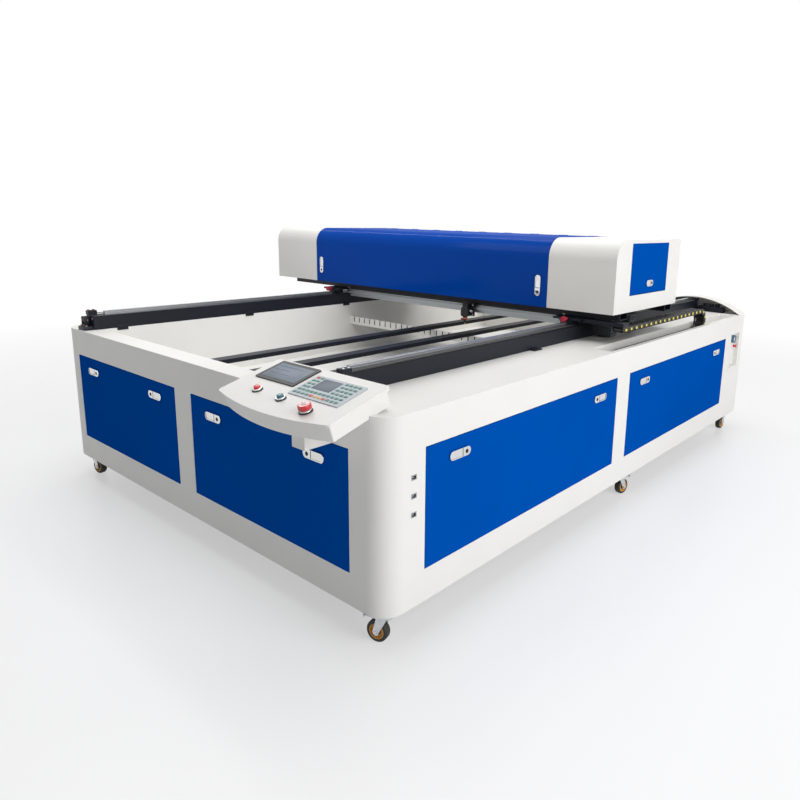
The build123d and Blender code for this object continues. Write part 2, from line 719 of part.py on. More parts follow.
def gantry_beam():
    """Two long tubes on the carriages, with cross shelves and brackets that carry the covers."""
    x0 = COVER_X0 + BEAM_END_GAP
    x1 = COVER_X1 - SHEET
    middle = GANTRY_Z + CROSS_TUBE / 2
    solids = []
    for y in (FRONT_TUBE, REAR_TUBE):
        solids.append(square_tube("X", x0, x1, y + CROSS_TUBE / 2, middle, CROSS_TUBE, CROSS_TUBE,
                                  CROSS_TUBE_WALL))
    top = GANTRY_Z + CROSS_TUBE
    for x in shelf_places():
        solids.append(block(x - SHELF_W / 2, x + SHELF_W / 2, FRONT_TUBE, REAR_TUBE + CROSS_TUBE,
                            top, top + SHELF_T))
    spans = [(x0, LID_X0 - JOGGLE - BRACKET_CLEAR), (LID_X1 + JOGGLE + BRACKET_CLEAR, x1)]
    for start, end in spans:
        solids.append(block(start, end, COVER_Y0 + SHEET, FRONT_TUBE, top - SHELF_T, top))
    rear = spans + [(LID_X0 + JOGGLE + BRACKET_CLEAR, LID_X1 - JOGGLE - BRACKET_CLEAR)]
    for start, end in rear:
        solids.append(block(start, end, REAR_TUBE + CROSS_TUBE, COVER_Y1 - SHEET, top - SHELF_T, top))
    return Compound(children=solids)


def x_guide():
    """The grey slotted profile under the front tube, with the head's linear rail on its face."""
    section = Rectangle(GUIDE_W, GUIDE_H)
    for z in (-GUIDE_H / 4, GUIDE_H / 4):
        section -= Pos(GUIDE_W / 2 - GUIDE_SLOT / 2, z) * Rectangle(GUIDE_SLOT, GUIDE_SLOT)
    plane = Plane((GUIDE_X0, GUIDE_Y + GUIDE_W / 2, LINEAR_Z), x_dir=(0, 1, 0), z_dir=(1, 0, 0))
    profile = extrude(plane * section, GUIDE_X1 - GUIDE_X0)
    rail = block(GUIDE_X0, GUIDE_X1, GUIDE_Y - LINEAR_H, GUIDE_Y,
                 LINEAR_Z - LINEAR_W / 2, LINEAR_Z + LINEAR_W / 2)
    return Compound(children=[profile, rail])


def x_belt():
    """The toothed belt that pulls the head, stretched along the top of the guide's face."""
    z1 = LINEAR_Z + GUIDE_H / 2
    return block(GUIDE_X0, GUIDE_X1, GUIDE_Y - BELT_T, GUIDE_Y, z1 - X_BELT_H, z1)


def gantry_carriages():
    """Two carriages: four saddle blocks each on the rails, a plate, and a red bumper in front."""
    y0 = FRONT + CARRIAGE_FRONT_Y
    y1 = y0 + CARRIAGE_PLATE_L
    solids = []
    for x in RAIL_X:
        solids.append(block(x - CARRIAGE_PLATE_W / 2, x + CARRIAGE_PLATE_W / 2, y0, y1, CARRIAGE_Z, GANTRY_Z))
        for start in (y0, y1 - CARRIAGE_BLOCK_L):
            low = BEAM_TOP + SADDLE_RISE
            saddle = block(x - CARRIAGE_BLOCK_W / 2, x + CARRIAGE_BLOCK_W / 2, start,
                           start + CARRIAGE_BLOCK_L, low, CARRIAGE_Z)
            saddle -= block(x - RAIL_W / 2 - RUN_GAP, x + RAIL_W / 2 + RUN_GAP, start - 1,
                            start + CARRIAGE_BLOCK_L + 1, low - 1, BEAM_TOP + RAIL_H + RUN_GAP)
            solids.append(saddle)
    arm_y = CHAIN_Y0
    solids.append(block(RAIL_X[1] + CARRIAGE_PLATE_W / 2, CHAIN_X + CHAIN_W / 2, arm_y - CHAIN_PITCH,
                        arm_y, CHAIN_TOP_Z + CHAIN_H / 2, GANTRY_Z))
    solids.append(block(RAIL_X[1] + CARRIAGE_PLATE_W / 2, MOTOR_X + MOTOR_W / 2,
                        FRONT + MOTOR_Y[0], FRONT + MOTOR_Y[1] + MOTOR_W, CARRIAGE_Z, GANTRY_Z))
    return Compound(children=solids)


def bumpers():
    """Red rubber bumpers on the front edges of the carriages' plates."""
    y0 = FRONT + CARRIAGE_FRONT_Y - BUMPER_L
    solids = []
    for x in RAIL_X:
        plane = Plane((x, y0, CARRIAGE_Z + CARRIAGE_PLATE_T / 2), x_dir=(1, 0, 0), z_dir=(0, 1, 0))
        buffer = extrude(plane * Circle(BUMPER_R), BUMPER_HEAD_L)
        solids.append(buffer + extrude(plane * Circle(BUMPER_STEM_R), BUMPER_L))
    return Compound(children=solids)


def y_motors():
    """Two finned drive motors hung beside the right rail."""
    solids = []
    for start in MOTOR_Y:
        y0 = FRONT + start
        motor = block(MOTOR_X - MOTOR_W / 2, MOTOR_X + MOTOR_W / 2, y0, y0 + MOTOR_W,
                      CARRIAGE_Z - MOTOR_H, CARRIAGE_Z)
        for i in range(MOTOR_FINS):
            z = CARRIAGE_Z - MOTOR_H + (i + 1) * MOTOR_H / (MOTOR_FINS + 1)
            motor -= block(MOTOR_X + MOTOR_W / 2 - FIN_DEPTH, MOTOR_X + MOTOR_W / 2 + 1, y0 - 1,
                           y0 + MOTOR_W + 1, z - FIN_SLOT / 2, z + FIN_SLOT / 2)
        solids.append(motor)
    return Compound(children=solids)


def laser_tube():
    """The glass laser tube: a long jacket with a narrower neck at each end."""
    plane = Plane((LASER_X0, FRONT + LASER_Y, GROUND + LASER_Z), x_dir=(0, 1, 0), z_dir=(1, 0, 0))
    jacket = Pos(0, 0, LASER_END_L) * extrude(Circle(LASER_R), LASER_L)
    neck = extrude(Circle(LASER_END_R), LASER_L + 2 * LASER_END_L)
    return plane * (jacket + neck)


def mirror_blocks():
    """Two 45 degree mirror blocks: one in the tube's axis and one over the front tube."""
    x = shelf_places()[3]
    base = GANTRY_Z + CROSS_TUBE + SHELF_T
    solids = []
    for y in (FRONT + LASER_Y, FRONT_TUBE + CROSS_TUBE / 2):
        post = block(x - MIRROR_W / 2, x + MIRROR_W / 2, y - MIRROR_W / 2, y + MIRROR_W / 2,
                     base, GROUND + LASER_Z + MIRROR_W / 2)
        corner = Pos(x + MIRROR_W / 2, y - MIRROR_W / 2, GROUND + LASER_Z)
        solids.append(post - corner * Rot(0, 0, 45) * Box(MIRROR_W, MIRROR_W, MIRROR_W + 2))
    return solids


def tube_mounts():
    """Clamps round the laser tube on the cross shelves, and the blocks of the first two mirrors."""
    base = GANTRY_Z + CROSS_TUBE + SHELF_T
    y = FRONT + LASER_Y
    z = GROUND + LASER_Z
    solids = []
    for x in shelf_places()[:3]:
        plane = Plane((x - CLAMP_T / 2, y, z), x_dir=(0, 1, 0), z_dir=(1, 0, 0))
        body = extrude(plane * Circle(LASER_R + CLAMP_RING), CLAMP_T)
        body += block(x - CLAMP_T / 2, x + CLAMP_T / 2, y - CLAMP_FOOT_W / 2, y + CLAMP_FOOT_W / 2,
                      base, base + CLAMP_RING)
        body += block(x - CLAMP_T / 2, x + CLAMP_T / 2, y - LASER_R / 2, y + LASER_R / 2, base, z)
        solids.append(body - extrude(plane * Circle(LASER_R + RUN_GAP), CLAMP_T))
    return Compound(children=solids + mirror_blocks())


def chain_link(length):
    """One link of the cable chain: two side plates with eased corners, joined by two crossbars."""
    outline = RectangleRounded(length, CHAIN_H, CHAIN_EASE)
    side = extrude(Plane.YZ * outline, CHAIN_WALL)
    left = Pos(-CHAIN_W / 2, 0, 0) * side
    right = Pos(CHAIN_W / 2 - CHAIN_WALL, 0, 0) * side
    link = left + right
    for z in (CHAIN_H / 2 - CHAIN_BAR_T, -CHAIN_H / 2):
        link += block(-CHAIN_W / 2, CHAIN_W / 2, -CHAIN_BAR_W / 2, CHAIN_BAR_W / 2, z, z + CHAIN_BAR_T)
    stud = extrude(Plane.YZ * Circle(CHAIN_STUD_R), CHAIN_STUD_T)
    return link + Pos(CHAIN_W / 2, 0, 0) * stud


def straight_links(y0, y1, z):
    """Links in a row from y0 to y1 with as many whole pitches as fit, spread evenly."""
    count = round((y1 - y0) / CHAIN_PITCH)
    step = (y1 - y0) / count
    link = chain_link(step - LINK_GAP)
    return [Pos(CHAIN_X, y0 + step * (i + 0.5), z) * link for i in range(count)]


def chain_lower_run():
    """The lower run, lying in the trough from its fixed end to the bend."""
    return Compound(children=straight_links(CHAIN_Y0, CHAIN_Y1 - CHAIN_LEAD, CHAIN_LOW_Z))


def chain_upper_run():
    """The upper run, from the gantry's arm to the bend."""
    return Compound(children=straight_links(CHAIN_Y0 - CHAIN_PITCH, CHAIN_Y1 - CHAIN_LEAD, CHAIN_TOP_Z))


def chain_bend():
    """The links that roll round the bend between the two runs."""
    link = chain_link(CHAIN_PITCH - BEND_GAP)
    reach = CHAIN_R - CHAIN_INSET
    solids = []
    for i in range(BEND_LINKS):
        turn = 180 * (i + 0.5) / BEND_LINKS
        place = Pos(CHAIN_X, CHAIN_Y1, CHAIN_LOW_Z + CHAIN_R) * Rot(turn, 0, 0) * Pos(0, 0, -reach)
        solids.append(place * link)
    return Compound(children=solids)


def head_carriage():
    """The head's saddle on the linear rail, its face plate and the bored holder for the focus tube."""
    front = GUIDE_Y - LINEAR_H - SADDLE_FACE
    saddle = block(HEAD_X - HEAD_W / 2 + SADDLE_INSET, HEAD_X + HEAD_W / 2 - SADDLE_INSET, front,
                   GUIDE_Y - SADDLE_RISE, LINEAR_Z - SADDLE_H / 2, LINEAR_Z + SADDLE_H / 2)
    saddle -= block(HEAD_X - HEAD_W, HEAD_X + HEAD_W, GUIDE_Y - LINEAR_H - RUN_GAP, GUIDE_Y,
                    LINEAR_Z - LINEAR_W / 2 - RUN_GAP, LINEAR_Z + LINEAR_W / 2 + RUN_GAP)
    plate = block(HEAD_X - HEAD_W / 2, HEAD_X + HEAD_W / 2, front - HEAD_PLATE_T, front,
                  LINEAR_Z - HEAD_H / 2, LINEAR_Z + HEAD_H / 2 - HEAD_DROP)
    z0 = LINEAR_Z - HEAD_H / 2
    holder = Pos(HEAD_X, FOCUS_Y, z0) * extrude(Circle(FOCUS_HOLDER_R), HOLDER_H)
    holder += block(HEAD_X - FOCUS_HOLDER_R, HEAD_X + FOCUS_HOLDER_R, FOCUS_Y, front - HEAD_PLATE_T,
                    z0, z0 + HOLDER_H)
    bore = Pos(HEAD_X, FOCUS_Y, z0 - 1) * extrude(Circle(FOCUS_R + FOCUS_CLEAR), HOLDER_H + 2)
    return saddle + plate + holder - bore


def focus_tube():
    """The turned lens tube with its nozzle cone, which slides in the holder."""
    tip = GROUND + FOCUS_TIP_Z
    shoulder = NOZZLE_L + FOCUS_NECK_L
    top = FOCUS_L + FOCUS_CAP_L
    profile = Polyline((0, 0), (NOZZLE_R, 0), (FOCUS_NECK_R, NOZZLE_L), (FOCUS_NECK_R, shoulder),
                       (FOCUS_R, shoulder), (FOCUS_R, FOCUS_L), (FOCUS_CAP_R, FOCUS_L),
                       (FOCUS_CAP_R, top), (0, top), close=True)
    face = make_face(Plane.XZ * profile)
    return Pos(HEAD_X, FOCUS_Y, tip) * revolve(face, Axis.Z)


def caster_places():
    """Each caster's name with its swivel axis and how far its fork is turned."""
    found = {}
    for side, x, yaws in zip(("left", "right"), CASTER_X, CASTER_YAW):
        for part, y, yaw in zip(("front", "middle", "rear"), CASTER_Y, yaws):
            found[f"{part}_{side}"] = (x, FRONT + y, yaw)
    return found


def caster_plates():
    """Top plates under the floor frame, each with its kingpin and nut."""
    solids = []
    head = SWIVEL_Z - FORK_T
    for x, y, _ in caster_places().values():
        plate = Pos(x, y, GROUND - PLATE_T / 2) * Box(PLATE_X, PLATE_Y, PLATE_T)
        plate += Pos(x, y, head - HINGE_GAP) * extrude(Circle(KINGPIN_R), GROUND - head)
        plate += Pos(x, y, head - HINGE_GAP - PLATE_T) * extrude(Circle(KINGPIN_HEAD_R), PLATE_T)
        solids.append(plate)
    return Compound(children=solids)


def caster_fork(x, y, yaw):
    """A pressed fork with its axle and the brake pedal over the wheel, turned about the kingpin."""
    head = SWIVEL_Z - FORK_T
    leg_in = WHEEL_W / 2 + FORK_GAP
    leg_out = leg_in + FORK_T
    outline = Polyline((-FORK_SHOULDER, SWIVEL_Z), (FORK_SHOULDER, SWIVEL_Z), (TRAIL + EYE_R, WHEEL_R),
                       (TRAIL - EYE_R, WHEEL_R), close=True)
    leg = make_face(outline) + Pos(TRAIL, WHEEL_R) * Circle(EYE_R)
    fork = Pos(0, 0, head) * extrude(Circle(SWIVEL_R), FORK_T)
    for side in (-1, 1):
        near = side * (leg_out if side > 0 else leg_in)
        fork += extrude(Plane((0, near, 0), x_dir=(1, 0, 0), z_dir=(0, -1, 0)) * leg, FORK_T)
    fork += block(-FORK_SHOULDER, FORK_SHOULDER, -leg_out, leg_out, head, SWIVEL_Z)
    pedal = 2 * WHEEL_R + PEDAL_RISE
    tip = TRAIL + PEDAL_REACH
    fork += block(TRAIL - EYE_R, tip, -leg_in, leg_in, pedal, pedal + FORK_T)
    fork += block(tip - FORK_T, tip, -leg_in, leg_in, pedal - PEDAL_LIP, pedal + FORK_T)
    axle = Plane((TRAIL, leg_out + AXLE_PROUD, WHEEL_R), x_dir=(1, 0, 0), z_dir=(0, -1, 0))
    fork += extrude(axle * Circle(AXLE_R), 2 * (leg_out + AXLE_PROUD))
    fork -= Pos(0, 0, head - 1) * extrude(Circle(KINGPIN_R + AXLE_CLEAR), FORK_T + 2)
    return Pos(x, y, 0) * Rot(0, 0, yaw) * fork


def caster_wheel(x, y, yaw):
    """A round-shouldered tyre on a dished hub with a bore for the axle."""
    half = WHEEL_W / 2
    tyre = Pos((WHEEL_R + HUB_R) / 2, 0) * Rectangle(WHEEL_R - HUB_R, WHEEL_W)
    tyre = fillet(tyre.vertices().sort_by(Axis.X)[-2:], TYRE_SHOULDER)
    bore = AXLE_R + AXLE_CLEAR
    foot = HUB_BOSS_R + HUB_SLOPE
    rim = HUB_R - HUB_RIM
    floor = half - HUB_DISH
    hub = Polyline((bore, -half), (HUB_BOSS_R, -half), (foot, -floor), (rim, -floor), (HUB_R, -half),
                   (HUB_R, half), (rim, floor), (foot, floor), (HUB_BOSS_R, half), (bore, half), close=True)
    place = Pos(x, y, 0) * Rot(0, 0, yaw) * Pos(TRAIL, 0, WHEEL_R)
    return Compound(children=[place * revolve(face, Axis.Y) for face in (tyre, make_face(hub))])


def console_plane():
    """The plane of the console's sloping top, with its origin in the middle of the rear edge."""
    origin = (CONSOLE_X, FRONT + CONSOLE_REAR_Y, DECK + CONSOLE_RISE)
    return Plane(origin, x_dir=(1, 0, 0), z_dir=(0, -math.sin(CONSOLE_TURN), math.cos(CONSOLE_TURN)))


def console_outline(inset):
    """The console's outline: three straight sides and a bowed front, moved inwards by inset."""
    half = CONSOLE_W / 2 - inset
    front = -CONSOLE_L + inset
    bow = ThreePointArc((-half, front), (0, front - CONSOLE_SAG), (half, front))
    sides = Polyline((half, front), (half, -inset), (-half, -inset), (-half, front))
    outline = make_face([bow, sides])
    return fillet(outline.vertices(), CONSOLE_CORNER_R - min(inset, CONSOLE_CORNER_R - CONSOLE_LEAST_R))


def notch(grow):
    """The corner of the body that the console's housing sits over, grown by the housing's wall."""
    return block(CONSOLE_X0 - 1, CONSOLE_X1 + 1, FRONT - grow, REAR, 0, DECK + grow)


def console_box():
    """The console's folded housing, notched to sit on the deck's front edge."""
    plane = console_plane()
    depth = CONSOLE_DEPTH - CONSOLE_PLATE_T
    body = Pos(0, 0, -CONSOLE_DEPTH) * extrude(console_outline(CONSOLE_LIP), depth)
    hollow = Pos(0, 0, CONSOLE_WALL - CONSOLE_DEPTH) * extrude(
        console_outline(CONSOLE_LIP + CONSOLE_WALL), depth)
    return plane * body - notch(0) - (plane * hollow - notch(CONSOLE_WALL))


def console_plate():
    """The top plate with its bowed front, chrome collars round the buttons, and their holes."""
    plate = Pos(0, 0, -CONSOLE_PLATE_T) * extrude(console_outline(0), CONSOLE_PLATE_T)
    for x, y in BUTTON_AT.values():
        plate += Pos(x, y, 0) * extrude(Circle(BUTTON_COLLAR_R) - Circle(BUTTON_R + STEM_CLEAR), COLLAR_H)
        plate -= Pos(x, y, -CONSOLE_PLATE_T) * extrude(Circle(BUTTON_STEM_R + STEM_CLEAR), CONSOLE_PLATE_T)
    x, y = ESTOP_AT
    plate += Pos(x, y, 0) * extrude(Circle(ESTOP_COLLAR_R) - Circle(ESTOP_STEM_R + STEM_CLEAR), COLLAR_H)
    plate -= Pos(x, y, -CONSOLE_PLATE_T) * extrude(Circle(ESTOP_STEM_R + STEM_CLEAR), CONSOLE_PLATE_T)
    return console_plane() * plate


def console_button(name):
    """A round push button in its collar, with its stem through the plate."""
    x, y = BUTTON_AT[name]
    button = Pos(0, 0, BUTTON_RISE) * extrude(Circle(BUTTON_R), BUTTON_CAP_T)
    button = fillet(button.edges().group_by(Axis.Z)[-1], BUTTON_EASE)
    button += Pos(0, 0, -STEM_L) * extrude(Circle(BUTTON_STEM_R), STEM_L + BUTTON_RISE)
    return console_plane() * Pos(x, y, 0) * button


def estop_button():
    """The red mushroom stop button on its stem."""
    rise = COLLAR_H + BUTTON_TRAVEL + ESTOP_CLEAR
    cap = Pos(0, 0, rise) * extrude(Circle(ESTOP_R), ESTOP_CAP_T)
    cap = fillet(cap.edges().group_by(Axis.Z)[-1], ESTOP_EASE)
    cap += Pos(0, 0, -STEM_L) * extrude(Circle(ESTOP_STEM_R), STEM_L + rise)
    return console_plane() * Pos(*ESTOP_AT, 0) * cap


def console_arm():
    """The short channel arm that carries the console off the front wall."""
    x0 = RIGHT - ARM_FROM_RIGHT - ARM_W
    z1 = DECK - ARM_TOP_DROP
    arm = block(x0, x0 + ARM_W, FRONT - ARM_L, FRONT, z1 - ARM_DEPTH, DECK)
    arm -= block(x0 + SHEET, x0 + ARM_W - SHEET, FRONT - ARM_L + SHEET, FRONT + 1, z1 - ARM_DEPTH - 1, DECK + 1)
    wide = 2 * (CONSOLE_W + ARM_L)
    above = console_plane() * Pos(0, 0, -CONSOLE_DEPTH) * extrude(Rectangle(wide, wide), CONSOLE_W)
    return arm - above


def touch_display():
    """The dark-framed display, set on the console's plate, with its screen let in."""
    frame = extrude(RectangleRounded(DISPLAY_W, DISPLAY_L, DISPLAY_CORNER_R), DISPLAY_T)
    screen = Rectangle(DISPLAY_W - 2 * DISPLAY_RIM, DISPLAY_L - 2 * DISPLAY_RIM)
    frame -= Pos(0, 0, DISPLAY_T - SCREEN_RECESS) * extrude(screen, SCREEN_RECESS + 1)
    return console_plane() * Pos(*DISPLAY_AT, 0) * frame


def keypad():
    """The key panel: a thin plate with a sunken screen and rows of raised keys."""
    panel_face = extrude(RectangleRounded(KEYPAD_W, KEYPAD_L, KEYPAD_CORNER_R), KEYPAD_T)
    panel_face -= Pos(*LCD_AT, KEYPAD_T - SCREEN_RECESS) * extrude(Rectangle(LCD_W, LCD_L), SCREEN_RECESS + 1)
    for i in range(KEY_COLUMNS):
        for j in range(KEY_ROWS):
            x = -KEYPAD_W / 2 + KEY_MARGIN + i * KEY_PITCH
            y = -KEYPAD_L / 2 + KEY_MARGIN + j * KEY_PITCH
            inside = abs(x - LCD_AT[0]) < LCD_W / 2 + KEY_W and y > LCD_AT[1] - LCD_L / 2 - KEY_W
            if not inside and x < KEYPAD_W / 2 - KEY_W:
                panel_face += Pos(x, y, KEYPAD_T) * Box(KEY_W, KEY_L, KEY_H)
    return console_plane() * Pos(*KEYPAD_AT, 0) * panel_face


def build():
    """Every sub-part by its node's name."""
    parts = {"cabinet": cabinet(), "top_deck": top_deck(), "bed_well": bed_well(), "bed_bars": bed_bars()}
    parts.update(comb_strips=comb_strips(), chassis=chassis(), rail_beams=rail_beams())
    parts.update(linear_rails=linear_rails(), rail_end_blocks=rail_end_blocks(), y_belts=y_belts())
    parts.update(chain_trough=chain_trough(), chain_lower_run=chain_lower_run(), rear_hood=rear_hood())
    parts.update(exhaust_collar=exhaust_collar(), port_sockets=port_sockets(), caster_plates=caster_plates())
    parts.update(console_box=console_box(), console_plate=console_plate(), console_arm=console_arm())
    parts.update(touch_display=touch_display(), keypad=keypad())
    parts.update(gantry_beam=gantry_beam(), x_guide=x_guide(), x_belt=x_belt())
    parts.update(gantry_carriages=gantry_carriages(), bumpers=bumpers(), y_motors=y_motors())
    parts.update(laser_tube=laser_tube(), tube_mounts=tube_mounts())
    parts.update(left_end_cap=end_cap(COVER_X0, LID_X0), right_end_cap=end_cap(COVER_X1, LID_X1))
    parts.update(rear_cover=rear_cover(), chain_upper_run=chain_upper_run(), chain_bend=chain_bend())
    parts.update(front_lid=front_lid(), left_end_door=end_door(COVER_X0, 1))
    parts.update(right_end_door=end_door(COVER_X1, -1))
    parts.update(head_carriage=head_carriage(), focus_tube=focus_tube(), estop_button=estop_button())
    for name in BUTTON_AT:
        parts[name] = console_button(name)
    for name, window in windows().items():
        parts[name] = panel(*window)
    for name, place in caster_places().items():
        parts[f"{name}_fork"] = caster_fork(*place)
        parts[f"{name}_wheel"] = caster_wheel(*place)
    return parts


def main():
    """Write one STEP file for each sub-part."""
    os.makedirs("parts", exist_ok=True)
    for name, shape in build().items():
        export_step(shape, f"parts/{name}.step")


if __name__ == "__main__":
    main()
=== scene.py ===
"""Looks of the flatbed laser cutter: its finishes, the details modelled over its solids, and the light."""

import json
import logging
import math
from dataclasses import dataclass, field
from enum import Enum
from typing import NamedTuple

import bpy
from mathutils import Matrix, Vector

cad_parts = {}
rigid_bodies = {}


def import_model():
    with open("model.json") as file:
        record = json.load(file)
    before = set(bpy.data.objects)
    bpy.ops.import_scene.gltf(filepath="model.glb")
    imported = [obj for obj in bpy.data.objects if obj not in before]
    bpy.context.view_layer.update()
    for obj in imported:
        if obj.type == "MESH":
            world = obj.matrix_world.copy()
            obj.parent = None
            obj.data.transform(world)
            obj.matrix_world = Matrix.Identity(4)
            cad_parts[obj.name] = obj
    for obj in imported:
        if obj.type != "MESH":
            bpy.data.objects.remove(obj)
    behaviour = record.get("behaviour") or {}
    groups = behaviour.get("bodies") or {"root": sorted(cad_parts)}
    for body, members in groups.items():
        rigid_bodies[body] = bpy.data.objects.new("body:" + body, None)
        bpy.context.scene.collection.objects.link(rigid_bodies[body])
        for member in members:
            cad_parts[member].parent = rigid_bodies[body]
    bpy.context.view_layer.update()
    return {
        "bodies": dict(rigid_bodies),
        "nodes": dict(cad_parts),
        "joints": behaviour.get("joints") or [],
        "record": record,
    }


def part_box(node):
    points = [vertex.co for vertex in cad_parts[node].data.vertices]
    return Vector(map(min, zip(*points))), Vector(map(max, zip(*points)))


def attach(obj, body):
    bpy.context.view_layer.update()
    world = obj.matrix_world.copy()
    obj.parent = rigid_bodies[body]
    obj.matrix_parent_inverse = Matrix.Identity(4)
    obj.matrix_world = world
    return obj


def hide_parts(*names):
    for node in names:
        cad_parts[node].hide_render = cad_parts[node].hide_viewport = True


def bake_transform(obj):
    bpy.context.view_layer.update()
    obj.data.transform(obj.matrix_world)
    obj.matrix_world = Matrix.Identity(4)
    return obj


LOG = logging.getLogger("laser_cutter")
X_AXIS = Vector((1, 0, 0))
Y_AXIS = Vector((0, 1, 0))
Z_AXIS = Vector((0, 0, 1))


class Grain(Enum):
    """The direction in which a surface's fine marks are drawn out."""

    NONE = (1.0, 1.0, 1.0)
    ALONG_X = (0.03, 1.0, 1.0)
    ALONG_Y = (1.0, 0.03, 1.0)


@dataclass(frozen=True)
class Finish:
    """A surface finish: its colour, gloss and fine relief.

    Attributes:
        name: The material's name.
        colour: Base colour as linear red, green and blue.
        metallic: 0 for paint and plastic, 1 for bare metal.
        roughness: Roughness in the middle of its range.
        spread: How far the roughness wanders either way.
        mottle: How far the colour wanders either way, as a share.
        mottle_scale: Size of the colour's patches, in patches per metre.
        relief: Height of the fine relief in metres.
        relief_scale: Size of the fine relief, in bumps per metre.
        grain: The direction of drawn marks.
        coat: Weight of a clear coat.
        alpha: Opacity, below 1 for clear parts.
        specular: Level of the paint's own sheen.
    """

    name: str
    colour: tuple[float, float, float]
    metallic: float = 0.0
    roughness: float = 0.45
    spread: float = 0.06
    mottle: float = 0.03
    mottle_scale: float = 2.2
    relief: float = 0.00015
    relief_scale: float = 420.0
    grain: Grain = Grain.NONE
    coat: float = 0.0
    alpha: float = 1.0
    specular: float = 0.5

    def material(self) -> bpy.types.Material:
        """Build the material once, and return it each time after that.

        Returns:
            The node material.
        """
        known = bpy.data.materials.get(self.name)
        if known is not None:
            return known
        made = bpy.data.materials.new(self.name)
        made.use_nodes = True
        nodes = made.node_tree.nodes
        links = made.node_tree.links
        shader = nodes["Principled BSDF"]
        shader.inputs["Metallic"].default_value = self.metallic
        shader.inputs["Specular IOR Level"].default_value = self.specular
        shader.inputs["Coat Weight"].default_value = self.coat
        shader.inputs["Coat Roughness"].default_value = 0.12
        shader.inputs["Alpha"].default_value = self.alpha
        place = nodes.new("ShaderNodeTexCoord")
        turn = nodes.new("ShaderNodeMapping")
        turn.inputs["Scale"].default_value = self.grain.value
        links.new(place.outputs["Object"], turn.inputs["Vector"])
        patches = self._noise(nodes, links, turn, self.mottle_scale, 3.0)
        ramp = nodes.new("ShaderNodeValToRGB")
        ramp.color_ramp.elements[0].position = 0.3
        ramp.color_ramp.elements[1].position = 0.7
        ramp.color_ramp.elements[0].color = self._tone(1 - self.mottle)
        ramp.color_ramp.elements[1].color = self._tone(1 + self.mottle)
        links.new(patches.outputs["Fac"], ramp.inputs["Fac"])
        links.new(ramp.outputs["Color"], shader.inputs["Base Color"])
        fine = self._noise(nodes, links, turn, self.relief_scale, 2.0)
        gloss = nodes.new("ShaderNodeMapRange")
        gloss.inputs["To Min"].default_value = max(self.roughness - self.spread, 0.02)
        gloss.inputs["To Max"].default_value = min(self.roughness + self.spread, 1.0)
        links.new(patches.outputs["Fac"], gloss.inputs["Value"])
        links.new(gloss.outputs["Result"], shader.inputs["Roughness"])
        bump = nodes.new("ShaderNodeBump")
        bump.inputs["Distance"].default_value = self.relief
        bump.inputs["Strength"].default_value = 0.6
        links.new(fine.outputs["Fac"], bump.inputs["Height"])
        links.new(bump.outputs["Normal"], shader.inputs["Normal"])
        return made

    def _tone(self, share: float) -> tuple[float, float, float, float]:
        """Return the colour made lighter or darker by a share."""
        return (*(min(part * share, 1.0) for part in self.colour), 1.0)

    @staticmethod
    def _noise(nodes: bpy.types.Nodes, links: bpy.types.NodeLinks, turn: bpy.types.Node,
               scale: float, detail: float) -> bpy.types.Node:
        """Add a noise texture fed by the mapping node.

        Args:
            nodes: The material's nodes.
            links: The material's links.
            turn: The mapping node.
            scale: The noise's scale in cells per metre.
            detail: The noise's octaves.

        Returns:
            The noise node.
        """
        noise = nodes.new("ShaderNodeTexNoise")
        noise.inputs["Scale"].default_value = scale
        noise.inputs["Detail"].default_value = detail
        links.new(turn.outputs["Vector"], noise.inputs["Vector"])
        return noise


